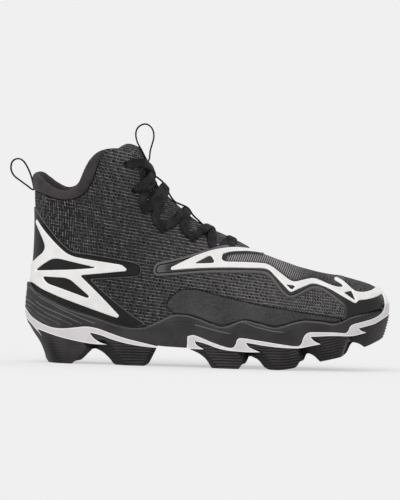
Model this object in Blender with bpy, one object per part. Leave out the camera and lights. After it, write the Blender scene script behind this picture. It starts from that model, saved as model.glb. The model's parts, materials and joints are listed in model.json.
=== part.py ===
"""Mid-cut baseball cleat, right shoe, as an assembly of separate closed solids.

Sizes are in millimetres and scaled once, by MM, when a mesh is made.
+X runs from heel to toe, +Y to the medial side, +Z up, and the studs stand on Z = 0.
"""

import math

import bmesh
import bpy
import numpy as np

for leftover in list(bpy.data.objects):
    bpy.data.objects.remove(leftover, do_unlink=True)

MM = 0.001

# Driving sizes of the shell and its layers.
WALL = 2.2
GAP = 0.3
WALL_ROWS = 5
CUFF_BULGE = 0.9
CUFF_DEPTH = 6.0
CUFF_SKIRT = 26.0
CUFF_SEAM = 0.8
INSOLE_THICK = 4.0
INSOLE_INSET = 1.0
TONGUE_THICK = 4.6
TONGUE_EDGE_THICK = 2.0
TONGUE_RISE = 6.5
LACE_WIDTH = 7.0
LACE_THICK = 1.3
LACE_STOP = 15.0
LACE_SECTIONS = 9
WEBBING_THICK = 1.3
WEBBING_WIDTH = 9.0
EYELET_RADIUS = 2.4

# Driving sizes of the sole.
RIM_THICK = 1.8
SOLE_FLARE = 4.5
TOE_FLARE = 1.7
HEEL_FLARE = 0.5
HEEL_LEDGE = 2.2
HEEL_SETBACK = 17.0
SIDE_DRAFT = 6.0
STEP_OUT = 1.2
RIB_STEP = 0.9
CHANNEL_HALF = 13.0

# One row per rib of the last, from the back of the heel to the tip of the toe.
# foot_*: feather line; top_*: collar, throat edge, then spine; arc: how far the rib bends over, in degrees;
# belly and waist: swelling low and high on the rib; cuff: height of the cuff band; spine: medial shift of the top;
# medial_rise: how much higher the collar is on the medial side.
STATION_COLUMNS = (
    "foot_x", "foot_lateral", "foot_medial", "top_x", "top_z", "top_half", "arc", "belly", "waist", "cuff", "spine",
    "medial_rise",
)
STATIONS = (
    (5.4, 0.0, 0.0, 4.0, 155.2, 0.0, 30, 1.2, -1.2, 8.4, 0.0, 0),
    (8.2, 13.0, 13.0, 6.0, 153.4, 11.0, 30, 1.6, -1.8, 7.8, 0.0, 3.2),
    (14.4, 22.0, 22.0, 11.0, 149.8, 20.5, 30, 2.2, -2.4, 7.0, 0.0, 5.4),
    (22.0, 27.2, 27.0, 21.0, 143.2, 28.3, 30, 2.8, -2.8, 6.4, 0.0, 5.2),
    (30.0, 30.0, 29.8, 33.0, 141.4, 32.5, 30, 3.0, -2.6, 6.4, 0.0, 2.8),
    (38.0, 31.4, 31.2, 43.4, 149.0, 33.6, 30, 3.0, -2.2, 7.4, 0.0, 2.2),
    (45.5, 32.0, 31.6, 50.6, 165.2, 32.4, 32, 3.0, -1.8, 7.6, 0.0, 1.2),
    (53.0, 32.4, 31.6, 60.5, 175.4, 29.6, 34, 3.0, -1.4, 3.4, 0.0, 0.5),
    (61.5, 32.9, 31.5, 76.0, 177.4, 25.0, 40, 2.8, -1.0, 0.0, 0.2, 0),
    (74.0, 33.7, 31.0, 88.0, 168.6, 21.5, 46, 2.6, -0.6, 0.0, 0.5, 0),
    (96.0, 35.2, 30.2, 95.2, 144.8, 20.0, 53, 2.4, -0.3, 0.0, 1.0, 0),
    (131.0, 39.3, 32.8, 111.0, 125.6, 19.2, 61, 2.2, 0.0, 0.0, 1.6, 0),
    (168.0, 44.9, 40.8, 134.0, 113.6, 17.6, 69, 2.0, 0.0, 0.0, 2.2, 0),
    (200.0, 47.0, 46.8, 159.0, 103.0, 14.6, 78, 2.0, 0.3, 0.0, 3.0, 0),
    (220.0, 45.4, 48.2, 176.5, 99.0, 9.6, 84, 2.0, 0.6, 0.0, 3.6, 0),
    (235.0, 42.3, 47.5, 187.5, 96.4, 0.0, 90, 2.0, 0.8, 0.0, 4.2, 0),
    (247.0, 38.4, 45.6, 205.0, 90.4, 0.0, 90, 2.0, 1.0, 0.0, 5.2, 0),
    (258.5, 33.2, 42.4, 223.0, 84.4, 0.0, 90, 2.0, 1.2, 0.0, 6.2, 0),
    (269.5, 26.6, 37.8, 240.0, 80.1, 0.0, 90, 2.0, 1.4, 0.0, 7.0, 0),
    (279.5, 18.6, 31.8, 254.5, 78.1, 0.0, 84, 2.0, 1.5, 0.0, 7.8, 0),
    (287.5, 9.6, 25.0, 265.5, 76.2, 0.0, 76, 2.0, 1.6, 0.0, 8.3, 0),
    (292.2, 0.6, 16.8, 272.4, 73.9, 0.0, 67, 2.0, 1.6, 0.0, 8.5, 0),
    (293.8, -8.5, 8.5, 277.0, 71.2, 0.0, 63, 2.0, 1.6, 0.0, 8.5, 0),
)
THROAT_TOP = 8
THROAT_END = 15
TOE = len(STATIONS) - 1
CUFF_END = 7.5
CUFF_CLEAR = 0.05
# Mesh columns, as (first station, last station, columns between two stations).
COLUMN_STEPS = ((0, 4, 1), (4, 8, 2), (8, 10, 1), (10, 15, 2), (15, 18, 1), (18, TOE, 2))

# Heights along the shoe, as (x, z).
FEATHER = (
    (0, 42), (10, 39.6), (30, 36.4), (60, 33.4), (95, 30), (130, 29.6), (165, 29.2), (200, 30.2),
    (230, 34.4), (253, 36), (265, 38.6), (272, 42), (284, 45.8), (292, 48.6), (297, 50.6),
)
RIM = (
    (0, 68.5), (4.8, 65), (10.8, 58.2), (22.3, 51.1), (40, 43.5), (57.5, 38.5), (77.3, 32.4), (90, 30.6),
    (97.5, 30.8), (111.8, 37.1), (125.7, 42.7), (133.7, 42.4), (144.4, 39.6), (163.4, 33.8), (181.1, 39.7),
    (193.9, 36.9), (206.6, 34.4), (220.7, 38.7), (231, 40.6), (244.5, 39.9), (253.2, 38.6), (260.3, 40.3),
    (268.8, 44.6), (280.6, 47.6), (297, 53),
)
FLOOR = ((0, 0), (212, 0), (226, 2.4), (244, 7), (265, 12.5), (281, 19.5), (300, 29))

# Side edges of the plates and studs, as (x, z), from heel to toe.
HEEL_PLATE_TOP = (
    (-8, 49), (0.8, 44.1), (5.3, 37.5), (14.3, 31.7), (24.2, 28.3), (33.4, 28), (51.9, 30.5), (60.6, 29.3),
    (71.2, 25.6), (83.9, 21.5), (96.6, 18.8), (111, 15.8),
)
HEEL_PLATE_LOW = (
    (-8, 43), (2.9, 33.6), (15.8, 20.4), (11.5, 26.4), (29, 20.8), (46.6, 17.3), (58.2, 15.6), (69.7, 15.7),
    (63.9, 17.3), (58, 20.9), (55, 25.1), (63.7, 23.4), (71.3, 20.5), (84, 17.1), (96.1, 15.2), (110, 14.2),
)
HEEL_STUD_LOW = (
    (-8, 42), (2.6, 33.2), (10.6, 20.6), (14.8, 13.8), (18.4, 3), (20.5, 0), (43, 0), (48.7, 2.9), (57.5, 12.8),
    (60, 12.8), (65.9, 10.1), (71.9, 4.6), (75.2, 0), (100.3, 0), (104.1, 2.2), (109.4, 13.6),
)
FORE_PLATE_TOP = (
    (134.8, 15), (134.8, 25), (139.6, 26.3), (146.4, 24), (154.9, 20.5), (163.4, 17.8), (170.2, 16.7),
    (174.7, 21.1), (177.6, 24.8), (182.6, 25.1), (209.7, 21.2), (220.6, 20.2), (226.1, 21.2), (228.3, 27.1),
    (232.9, 31.4), (253.4, 31.4), (264.4, 31.9), (267.2, 33.5), (269.8, 38.7), (273.7, 40.4), (284.6, 43.4),
    (292.5, 46.9), (308, 54.5),
)
FORE_PLATE_LOW = (
    (136, 14.4), (149.3, 14.2), (142.4, 17.9), (141, 20.9), (149.9, 19), (159.3, 15.5), (167.8, 13.9), (184.6, 13),
    (195.2, 13.4), (185.4, 17.2), (182.7, 20.9), (197.2, 18.8), (209.8, 17.5), (226.2, 17.2), (235.6, 19.5),
    (244.6, 21.3), (238.7, 23.5), (235.4, 27), (253.5, 28.3), (269.3, 28.7), (282.3, 32.3), (277, 33.9),
    (275.1, 35.7), (288.7, 39.2), (296.5, 44.2), (308, 51.5),
)
FORE_STUD_LOW = (
    (138.5, 14), (144, 12), (150.3, 7.7), (155.2, 0), (177.4, 0), (179.9, 3.9), (183.2, 4.9), (185.6, 10.4),
    (187.6, 10.4), (193.3, 8.1), (199.6, 0), (212, 0), (224.4, 2.4), (227.3, 7.8), (230.4, 8.4), (233, 14),
    (235.2, 14), (239, 12.2), (243.9, 7.4), (265, 12.8), (268.7, 22), (270.6, 24), (275.7, 23), (280.6, 19.8),
    (297.3, 27.8), (299.6, 38), (308, 50),
)
HEEL_CHANNEL = ((23, -6), (116, -6), (116, 11.5), (23, 11.5))
FORE_CHANNEL = ((132, -6), (267, -6), (267, 20), (240, 16.5), (226, 9.8), (132, 9.8))

# Outlines of the overlays seen from the side, as (x, z). Outlines that pass beyond the shoe wrap over it.
COUNTER = (
    (-6, 129.4), (5.7, 128.5), (8.7, 124.9), (15.3, 114.9), (28.4, 99.5), (38.8, 91.4), (53.9, 90.4), (71.7, 87.8),
    (89.5, 84.8), (93.4, 82.1), (94.1, 77.1), (92.4, 73.3), (79.8, 71.7), (54.5, 69.6), (61.1, 63.5), (74.1, 52.5),
    (90.8, 40.4), (101, 34.4),
)
COUNTER_RIM = (92, 80, 68, 57, 46, 35, 25, 16, 9, 3, -6)
HEEL_FRAME = (
    (8.9, 117.9), (15.5, 108.6), (23.3, 100), (30.5, 93.3), (35, 89.9), (41.4, 87.6), (57.2, 85.2), (79.5, 82.4),
    (84, 78.7), (83, 77.2), (67, 75.3), (45.6, 72.8), (61.2, 58.4), (78.9, 40.7), (77.6, 38.7), (73.2, 39.8),
    (55.3, 45.6), (29.8, 54.3), (14.5, 60.7), (7.3, 65.6), (-6, 67.4), (-6, 78.1), (5.7, 81.4), (9.9, 85.7),
    (14.8, 90.3), (16.5, 93.7), (16.1, 97.4), (13, 104.8), (8.3, 114.7),
)
HEEL_WINDOWS = (
    ((9.5, 75.6), (16.3, 81.5), (22.5, 85.5), (28.1, 85.8), (41.5, 82.9), (59.6, 79.4), (41.7, 77.5)),
    ((15.7, 70.8), (33.7, 70.3), (38.2, 68.6), (54.1, 55.5), (51.9, 54.5), (35.9, 60), (19.9, 65.2), (16.7, 68.2)),
)
VAMP_FRAME = (
    (119.4, 79.9), (120, 81.5), (130.1, 86.7), (139.5, 91.4), (152.1, 95.7), (160.3, 97.9), (171, 99.1), (187, 97.6),
    (187.5, 112), (310, 112), (310, 53.4), (295.2, 53.4), (294.8, 59.3), (293.2, 63.6), (288.3, 60.2), (281, 58.4),
    (273.7, 58.2), (271.6, 55.4), (259.9, 61.4), (249.2, 67.4), (238.6, 70.7), (234.4, 70.6), (223.9, 66.1),
    (217.7, 63.2), (206.9, 74), (200.4, 80.6), (196.1, 82.1), (164.5, 82.2), (138.4, 81), (120, 79),
)
VAMP_WINDOW = (
    (162.3, 88.2), (163, 92.5), (168.8, 94.3), (181, 95.1), (188.9, 94.7), (194.5, 93.6), (195, 112), (288.8, 112),
    (288.8, 70), (288, 67.6), (282.4, 64.8), (276.1, 64.2), (270.2, 65.6), (260.8, 73.6), (256.9, 76.4), (255, 77.2),
    (253.6, 76.4), (253.8, 75), (259.4, 71.2), (261.3, 68.5), (256.2, 68.3), (249.9, 70.1), (241.9, 73.4),
    (236.9, 75), (231.6, 74.3), (221.2, 71.8), (217.5, 72.6), (208.4, 79.1), (202.9, 83.2), (197.6, 85.3),
    (183.9, 86), (164.8, 86),
)
VAMP_HOLES = (
    ((140.9, 85.6), (150.7, 90.8), (152.8, 90.4), (154.5, 86.7), (153.5, 85.6)),
    ((213.8, 69.6), (221.8, 68.6), (218.8, 65.3)),
    ((263.1, 64.2), (267.8, 65.5), (270.7, 58.9)),
)
BACKING = (
    (105, 79), (106.7, 83.5), (109.8, 85.4), (122.3, 88.1), (135.4, 92), (145.8, 95.5), (160.3, 99.9), (172, 101),
    (187, 100), (187, 112), (310, 112),
)
BACKING_RIM = (310, 294, 286, 278, 270, 262)
BACKING_LOW = (
    (263.3, 52), (255.8, 58.1), (245, 65.1), (238.7, 67.1), (233.4, 65.9), (222.1, 59.7), (216.8, 58.5), (211.4, 62.1),
    (200.5, 75.3), (196.3, 77.9), (185.7, 78.5), (149, 77.7), (133.3, 76.1), (108.1, 73.8), (105.9, 75.3),
)
BACKING_WINDOW = (
    (164.2, 88.4), (165, 92), (170, 93.6), (181, 94.2), (189, 93.9), (195.6, 92.9), (196, 112), (255.5, 112),
    (255.5, 77.5), (257, 75), (260.3, 72.2), (258, 70.2), (250, 71.2), (242, 74.5), (237, 76.1), (231.5, 75.4),
    (221.4, 72.9), (217.9, 73.7), (209, 80), (203.4, 84.1), (197.8, 86.3), (184, 87), (165.5, 87),
)
PANEL = (
    (116.1, 50.3), (118.1, 55.1), (123.1, 61), (128.3, 63.8), (133.6, 64.8), (141.5, 64.8), (160.1, 60.2),
    (175.9, 56.8), (191.7, 53.5), (207.5, 51.4), (223.4, 49.8), (235, 48.6), (252, 47.6),
)
PANEL_RIM = (250, 240, 230, 222, 214, 206, 198, 190, 181, 172, 163, 154, 145, 138, 132, 126.5, 123)

# Tongue crest between the throat edges, as (station, x, z).
TONGUE_CREST = (
    (8.35, 88.8, 177.6), (9.0, 95.2, 167.0), (10.0, 107.4, 150.0), (11.0, 121.8, 134.0), (12.0, 142.6, 118.2),
    (13.0, 163.4, 106.6), (13.5, 171.0, 101.6), (14.0, 177.4, 95.8),
)
TONGUE_ROWS = (8.35, 8.8, 9.3, 9.8, 10.3, 10.9, 11.5, 12.2, 12.9, 13.5, 14.0, 14.6, 15.0, 15.5, 16.0)
TONGUE_UNDER = 3.0
TONGUE_WING = 13.0

# Lace keepers down the throat, as (station on the throat edge, distance from the edge).
# The first two are punched eyelets, the last two lie under the vamp frame.
KEEPERS = ((9.0, 9.5), (9.95, 9.5), (10.55, 9.0), (11.35, 9.5), (12.15, 8.5), (12.9, 6.5), (13.5, 5.0))
PUNCHED = slice(0, 2)
WEBBED = slice(2, 5)
KEEPER_HALF = 4.5

# Webbing centre lines, as (x, z).
HEEL_LOOP = (
    (1.4, 143.2), (-2.6, 145.9), (-7.1, 149.1), (-11.8, 152.6), (-14.3, 156.7), (-14.8, 160.4), (-13.8, 164.3),
    (-11, 166.6), (-7.7, 166.8), (-4.6, 165), (-1.6, 160.8), (0.4, 155.1), (1.3, 149.4),
)
TONGUE_LOOP = (
    (98.2, 167.8), (92.6, 176.8), (88.9, 183.3), (87.4, 189.1), (88.2, 194.1), (91.2, 197.3), (95.3, 198.5),
    (99.1, 196.8), (101.7, 192.8), (102.3, 187.9), (101.3, 182.9), (99.8, 177.1),
)

BLACK = (0.035, 0.033, 0.034)
DARK = (0.05, 0.047, 0.049)
WHITE = (0.72, 0.71, 0.7)


def smooth(table, at):
    """Monotone cubic through the (x, z) rows of table, read at the places in at."""
    xs, ys = np.array(table, float).T
    at = np.clip(np.asarray(at, float), xs[0], xs[-1])
    step = np.diff(xs)
    slope = np.diff(ys) / step
    tangent = np.concatenate([slope[:1], np.zeros(len(xs) - 2), slope[-1:]])
    for i in range(1, len(xs) - 1):
        if slope[i - 1] * slope[i] > 0:
            tangent[i] = 2 * slope[i - 1] * slope[i] / (slope[i - 1] + slope[i])
    low = np.clip(np.searchsorted(xs, at, side="right") - 1, 0, len(step) - 1)
    s = (at - xs[low]) / step[low]
    start = (1 + 2 * s) * (1 - s) ** 2 * ys[low] + s * (1 - s) ** 2 * step[low] * tangent[low]
    end = s * s * (3 - 2 * s) * ys[low + 1] + s * s * (s - 1) * step[low] * tangent[low + 1]
    return start + end


def ring_spline(values):
    """Closed cubic spline through equally spaced values, as a function of place on the ring."""
    values = np.array(values, float)
    count = len(values)
    ring = np.arange(count)
    matrix = 4 * np.eye(count)
    matrix[ring, (ring + 1) % count] = 1
    matrix[ring, (ring - 1) % count] = 1
    bend = np.linalg.solve(matrix, 6 * (np.roll(values, -1) - 2 * values + np.roll(values, 1)))

    def at(place):
        place = np.asarray(place, float) % count
        low = np.floor(place).astype(int) % count
        high = (low + 1) % count
        s = place - np.floor(place)
        a = 1 - s
        return a * values[low] + s * values[high] + ((a**3 - a) * bend[low] + (s**3 - s) * bend[high]) / 6

    return at


def column(name):
    """One column of the station table."""
    return [row[STATION_COLUMNS.index(name)] for row in STATIONS]


def around(medial, lateral):
    """A station column taken round the shoe: heel, medial side, toe, lateral side."""
    return ring_spline(list(medial) + list(lateral)[-2:0:-1])


def mirrored(name):
    """A station column that is the same on both sides."""
    return around(column(name), column(name))


SHAPE = {name: mirrored(name) for name in ("foot_x", "top_x", "arc", "belly", "waist", "cuff", "spine")}
SHAPE["foot_y"] = around(column("foot_medial"), [-half for half in column("foot_lateral")])
SHAPE["top_z"] = around(np.add(column("top_z"), column("medial_rise")), column("top_z"))
SHAPE["top_y"] = around(
    [mid + half for mid, half in zip(column("spine"), column("top_half"))],
    [mid - half for mid, half in zip(column("spine"), column("top_half"))],
)


def outward(place):
    """Unit normal of the feather line in plan, pointing out of the shoe."""
    step = 0.02
    run = SHAPE["foot_x"](place + step) - SHAPE["foot_x"](place - step)
    side = SHAPE["foot_y"](place + step) - SHAPE["foot_y"](place - step)
    length = np.hypot(run, side)
    return np.stack([-side / length, run / length, np.zeros_like(length)], axis=-1)


def surface(place, height):
    """Outer face of the upper. place: -TOE lateral toe, 0 heel, TOE medial toe; height: 0 feather, 1 top line."""
    place, height = np.broadcast_arrays(np.asarray(place, float), np.asarray(height, float))
    station = np.abs((place + TOE) % (2 * TOE) - TOE)
    foot_x = SHAPE["foot_x"](place)
    foot_z = smooth(FEATHER, foot_x)
    top_y = np.where(station >= THROAT_END, SHAPE["spine"](place), SHAPE["top_y"](place))
    arc = np.radians(SHAPE["arc"](place))
    angle = arc * height
    inward = (1 - np.cos(angle)) / (1 - np.cos(arc))
    upward = np.sin(angle) / np.sin(arc)
    lean = np.clip((foot_x - 230) / 60, 0, 1)
    lean = lean * lean * (3 - 2 * lean)
    along = upward + (inward - upward) * lean
    x = foot_x + (SHAPE["top_x"](place) - foot_x) * along
    y = SHAPE["foot_y"](place) + (top_y - SHAPE["foot_y"](place)) * inward
    z = foot_z + (SHAPE["top_z"](place) - foot_z) * upward
    low_swell = 6.75 * height * (1 - height) ** 2
    high_swell = 6.75 * height**2 * (1 - height)
    swell = SHAPE["belly"](place) * low_swell + SHAPE["waist"](place) * high_swell
    return np.stack([x, y, z], axis=-1) + outward(place) * swell[..., None]


def facing(place, height):
    """Unit normal of the upper's outer face."""
    place, height = np.broadcast_arrays(np.asarray(place, float), np.asarray(height, float))
    level = np.minimum(height, 0.97)
    around_step = surface(place + 0.03, level) - surface(place - 0.03, level)
    up_step = surface(place, np.minimum(height + 0.01, 1)) - surface(place, np.maximum(height - 0.01, 0))
    normal = np.cross(up_step, around_step)
    return normal / np.linalg.norm(normal, axis=-1, keepdims=True)


def raised(place, height, lift):
    """A point of the outer face moved outwards by lift."""
    return surface(place, height) + facing(place, height) * np.asarray(lift, float)[..., None]


def rib_length(place):
    """Length of a rib from the feather line to the top line."""
    heights = np.linspace(0, 1, 21)
    points = surface(np.asarray(place, float)[..., None], heights)
    return np.linalg.norm(np.diff(points, axis=-2), axis=-1).sum(axis=-1)


def cuff_start(place):
    """Height on the rib where the cuff band begins, 1 where there is no cuff."""
    station = np.abs(np.asarray(place, float))
    band = np.where(station <= CUFF_END, np.maximum(SHAPE["cuff"](place), 0), 0)
    return 1 - band / rib_length(place)


def rim_height(place):
    """Height on the rib where the midsole rim ends."""
    low = np.zeros_like(place)
    high = np.full_like(place, 0.5)
    for _ in range(30):
        middle = (low + high) / 2
        point = surface(place, middle)
        below = point[..., 2] < smooth(RIM, point[..., 0])
        low = np.where(below, middle, low)
        high = np.where(below, high, middle)
    return (low + high) / 2


def finished(bm, name, colour=None):
    """Turns a bmesh in millimetres into a named object; with no colour it is a hidden cutter."""
    bmesh.ops.recalc_face_normals(bm, faces=bm.faces)
    bmesh.ops.scale(bm, vec=(MM, MM, MM), verts=bm.verts)
    mesh = bpy.data.meshes.new(name)
    bm.to_mesh(mesh)
    bm.free()
    made = bpy.data.objects.new(name, mesh)
    bpy.context.scene.collection.objects.link(made)
    if colour is None:
        made.hide_render = True
        made.display_type = "WIRE"
        return made
    material = bpy.data.materials.new(name)
    material.use_nodes = True
    shader = material.node_tree.nodes["Principled BSDF"]
    shader.inputs["Base Color"].default_value = (*colour, 1)
    shader.inputs["Roughness"].default_value = 0.6
    mesh.materials.append(material)
    return made


def cut(body, operation, cutter):
    """Adds one exact Boolean to body."""
    modifier = body.modifiers.new(operation.lower() + "_" + cutter.name, "BOOLEAN")
    modifier.operation = operation
    modifier.solver = "EXACT"
    modifier.object = cutter


def add_points(bm, points):
    """Adds points to bm and returns their vertices, in the same nesting."""
    points = np.asarray(points)
    if points.ndim == 1:
        return bm.verts.new(points)
    return [add_points(bm, row) for row in points]


def add_face(bm, corners):
    """Adds a face, leaving out corners that are the same vertex."""
    kept = []
    for corner in corners:
        if corner not in kept:
            kept.append(corner)
    if len(kept) > 2:
        bm.faces.new(kept)


def tube(bm, sections, closed_ring=True, closed_run=False):
    """Faces between neighbouring sections of vertices, each section an open or closed ring."""
    pairs = zip(sections, sections[1:] + sections[:1] if closed_run else sections[1:])
    for first, second in pairs:
        count = len(first)
        for i in range(count if closed_ring else count - 1):
            j = (i + 1) % count
            add_face(bm, (first[i], first[j], second[j], second[i]))


def cap_ring(bm, ring):
    """Closes a ring round the shoe with strips from side to side; the ring starts at the toe."""
    count = len(ring)
    half = count // 2
    for i in range(half):
        add_face(bm, (ring[i], ring[i + 1], ring[(count - i - 1) % count], ring[(count - i) % count]))


def columns():
    """Places of the mesh columns round the shoe, starting at the toe."""
    runs = [np.linspace(first, last, (last - first) * step, endpoint=False) for first, last, step in COLUMN_STEPS]
    half = np.concatenate([*runs, [TOE]])
    return np.concatenate([-half[:0:-1], half[:-1]])


def wall(name, outer_lift, inner_lift, colour, below_cuff=False, flat_foot=False):
    """A shell on the upper's own shape between two lifts, open at collar, throat and underneath."""
    bm = bmesh.new()
    places = columns()
    count = len(places)
    tops = cuff_start(places) - CUFF_SEAM / rib_length(places) if below_cuff else np.ones(count)
    tops = np.where(np.abs(places) <= CUFF_END, tops, 1)
    heights = np.linspace(0, 1, WALL_ROWS + 1)[None, :] * tops[:, None]
    outer = raised(places[:, None], heights, outer_lift)
    inner = raised(places[:, None], heights, inner_lift)
    if flat_foot:
        inner[:, 0, 2] = outer[:, 0, 2]
    closed = np.abs(places) >= THROAT_END
    for grid in (outer, inner):
        for i in np.flatnonzero(closed[: count // 2])[1:]:
            grid[i, -1] = grid[count - i, -1] = (grid[i, -1] + grid[count - i, -1]) / 2
    outer, inner = add_points(bm, outer), add_points(bm, inner)
    for i in range(1, count // 2):
        if closed[i]:
            for grid in (outer, inner):
                bm.verts.remove(grid[count - i][-1])
                grid[count - i][-1] = grid[i][-1]
    tube(bm, outer, closed_ring=False, closed_run=True)
    tube(bm, inner, closed_ring=False, closed_run=True)
    for i in range(count):
        j = (i + 1) % count
        add_face(bm, (outer[i][0], outer[j][0], inner[j][0], inner[i][0]))
        if not (closed[i] and closed[j]):
            add_face(bm, (outer[i][-1], outer[j][-1], inner[j][-1], inner[i][-1]))
    # Every layer is split along the same diagonals, so that layers stay parallel.
    bmesh.ops.triangulate(bm, faces=bm.faces, quad_method="FIXED")
    return finished(bm, name, colour)


def outset(outline, distance):
    """The outline with every edge moved out by distance, or in where it is negative."""
    points = np.array(outline, float)
    ahead = np.roll(points, -1, axis=0) - points
    ahead /= np.linalg.norm(ahead, axis=1, keepdims=True)
    area = np.sum(points[:, 0] * np.roll(points[:, 1], -1) - np.roll(points[:, 0], -1) * points[:, 1])
    normal = np.stack([ahead[:, 1], -ahead[:, 0]], axis=1) * math.copysign(1, area)
    before = np.roll(normal, 1, axis=0)
    spread = 1 + np.sum(normal * before, axis=1, keepdims=True)
    return points + (normal + before) * distance / np.maximum(spread, 0.12)


def prism(name, outlines, low_y, high_y, colour=None):
    """Side outlines (x, z) run straight across the shoe from low_y to high_y."""
    bm = bmesh.new()
    for outline in outlines:
        near = [bm.verts.new((x, low_y, z)) for x, z in outline]
        far = [bm.verts.new((x, high_y, z)) for x, z in outline]
        tube(bm, [near, far])
        bmesh.ops.triangulate(bm, faces=[bm.faces.new(near), bm.faces.new(far)])
    return finished(bm, name, colour)


def overlay(name, low_lift, high_lift, outline, holes, colour, sides=(-80, 80)):
    """A film on the upper's own shape: a shell kept inside an outline and opened at holes."""
    film = wall(name, high_lift, low_lift, colour)
    cut(film, "INTERSECT", prism(name + "_outline", [outline], *sides))
    if holes:
        cut(film, "DIFFERENCE", prism(name + "_holes", holes, -85, 85))
    return film


def above_rim(places_x, clearance):
    """Points just above the midsole rim, as (x, z)."""
    return [(x, float(smooth(RIM, x)) + clearance) for x in places_x]


def sole_side(place, level):
    """Side of the sole below the feather line; level runs from 0 at the studs to 1 at the feather line."""
    foot = surface(place, 0)
    low = np.maximum(1 - level, 0)
    out = outward(place)
    end_flare = np.where(out[..., 0] > 0, TOE_FLARE, HEEL_FLARE) * out[..., 0] ** 2
    reach = SOLE_FLARE + end_flare - SIDE_DRAFT * low**1.5
    point = foot + out * reach[..., None]
    point[..., 0] += HEEL_SETBACK * low**1.25 * np.maximum(1 - foot[..., 0] / 70, 0)
    base = smooth(FLOOR, foot[..., 0]) - 2
    point[..., 2] = base + (foot[..., 2] - base) * level
    return point


def sole_core():
    """Hidden solid that gives plates and studs their outline and draft."""
    bm = bmesh.new()
    places = columns()
    levels = (0, 0.35, 0.7, 1.0, 1.35)
    rings = [add_points(bm, sole_side(places, np.full_like(places, level))) for level in levels]
    tube(bm, rings)
    cap_ring(bm, rings[0])
    cap_ring(bm, rings[-1])
    return finished(bm, "sole_core")


def midsole():
    """Cup under the upper: a wavy rim, a ribbed side and an underside cut to the plates."""
    bm = bmesh.new()
    places = columns()
    rim = rim_height(places)
    foot = surface(places, 0)
    bed = foot + outward(places) * (GAP + 0.1)
    bed[:, 2] -= GAP
    inner = [raised(places, rim * part, np.full_like(places, GAP + 0.1)) for part in (0.5, 1.0)]
    heel_share = np.maximum(-outward(places)[:, 0], 0) ** 2
    rim_outer = raised(places, rim, RIM_THICK + HEEL_LEDGE * heel_share)
    side_low = sole_side(places, np.full_like(places, 0.2))
    side_mid = sole_side(places, np.full_like(places, 0.6))
    side_top = sole_side(places, np.full_like(places, 1.0))
    step_low = side_top + (rim_outer - side_top) * 0.55
    step_low += outward(places) * STEP_OUT * (1 - 0.8 * heel_share)[:, None]
    step_high = side_top + (rim_outer - side_top) * 0.62
    step_high += outward(places) * (STEP_OUT - RIB_STEP) * (1 - 0.8 * heel_share)[:, None]
    rings = [bed, *inner, rim_outer, step_high, step_low, side_top, side_mid, side_low]
    rings = [add_points(bm, ring) for ring in rings]
    tube(bm, rings)
    cap_ring(bm, rings[0])
    cap_ring(bm, rings[-1])
    made = finished(bm, "midsole", DARK)
    below = [(-12, -12), *HEEL_PLATE_TOP, *FORE_PLATE_TOP, (312, 54.5), (312, -12)]
    cut(made, "DIFFERENCE", prism("midsole_underside", [outset(below, GAP / 2)], -80, 80))
    return made


def sole_layer(name, top_edge, low_edge, core, colour, channel=None):
    """A plate or stud layer between two side edges, kept inside the sole's outline."""
    outline = outset([*top_edge, *reversed(low_edge)], -GAP / 2)
    made = prism(name, [outline], -80, 80, colour)
    cut(made, "INTERSECT", core)
    if channel:
        cut(made, "DIFFERENCE", prism(name + "_channel", [channel], -CHANNEL_HALF, CHANNEL_HALF + 2))
    return made


def insole():
    """Loose sheet on the foot bed, just inside the upper's wall."""
    bm = bmesh.new()
    places = columns()
    low = surface(places, 0) - outward(places) * (WALL + 2 * GAP)
    low[:, 2] += GAP
    high = low - outward(places) * INSOLE_INSET + (0, 0, INSOLE_THICK)
    rings = [add_points(bm, low), add_points(bm, high)]
    tube(bm, rings)
    cap_ring(bm, rings[0])
    cap_ring(bm, rings[1])
    return finished(bm, "insole", BLACK)


def collar_cuff():
    """Padded band on top of the collar, with a skirt inside the upper."""
    bm = bmesh.new()
    places = columns()
    places = places[np.abs(places) <= CUFF_END]
    places[[0, -1]] *= 1 - CUFF_CLEAR / CUFF_END
    start = cuff_start(places)
    band = 1 - start
    ending = np.clip((np.abs(places) - 5.5) / 2, 0, 1)
    skirt = CUFF_SKIRT * (1 - 0.7 * ending) / rib_length(places)
    inside = -(WALL + 4 * GAP)
    depth = CUFF_DEPTH - (CUFF_DEPTH + inside) * 0.6 * ending
    profile = (
        (0.1, start), (CUFF_BULGE, start + 0.4 * band), (0.4, start + 0.85 * band), (-1.6, start + band),
        (-0.6 * depth, start + 0.98 * band), (0.4 - depth, start + 0.3 * band), (-depth, start - 0.35 * skirt),
        (inside - 1.4, start - skirt), (inside, start - skirt), (inside, start),
    )
    rings = [raised(places, height, np.broadcast_to(lift, places.shape)) for lift, height in profile]
    sections = add_points(bm, np.stack(rings, axis=1))
    tube(bm, sections)
    for end in (sections[0], sections[-1]):
        for first, second in zip(end[:-2], end[1:-1]):
            bm.faces.new((end[-1], first, second))
    return finished(bm, "collar_cuff", BLACK)


def beside_throat(station, side, distance):
    """Place and height on the upper at a distance from the throat edge, square to that edge."""
    place, height = side * station, 1.0
    edge = surface(place, height)
    along = surface(side * (station + 0.05), height) - surface(side * (station - 0.05), height)
    away = np.cross(facing(place, height), along)
    away *= math.copysign(1, -away[2]) / np.linalg.norm(away)
    target = edge + away * distance
    for _ in range(12):
        here = surface(place, height)
        by_place = (surface(place + 0.01, height) - here) / 0.01
        by_height = (here - surface(place, height - 0.005)) / 0.005
        step = np.linalg.lstsq(np.stack([by_place, by_height], axis=1), target - here, rcond=None)[0]
        place = place + step[0]
        height = min(height + step[1], 1.0)
    return float(place), float(height)


def bow(points, places):
    """Smooth curve through a few points at even spacing, read at places from 0 to 1."""
    points = np.asarray(points, float)
    table = np.linspace(0, 1, len(points))
    return np.stack([smooth(np.stack([table, axis], axis=1), places) for axis in points.T], axis=1)


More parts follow.
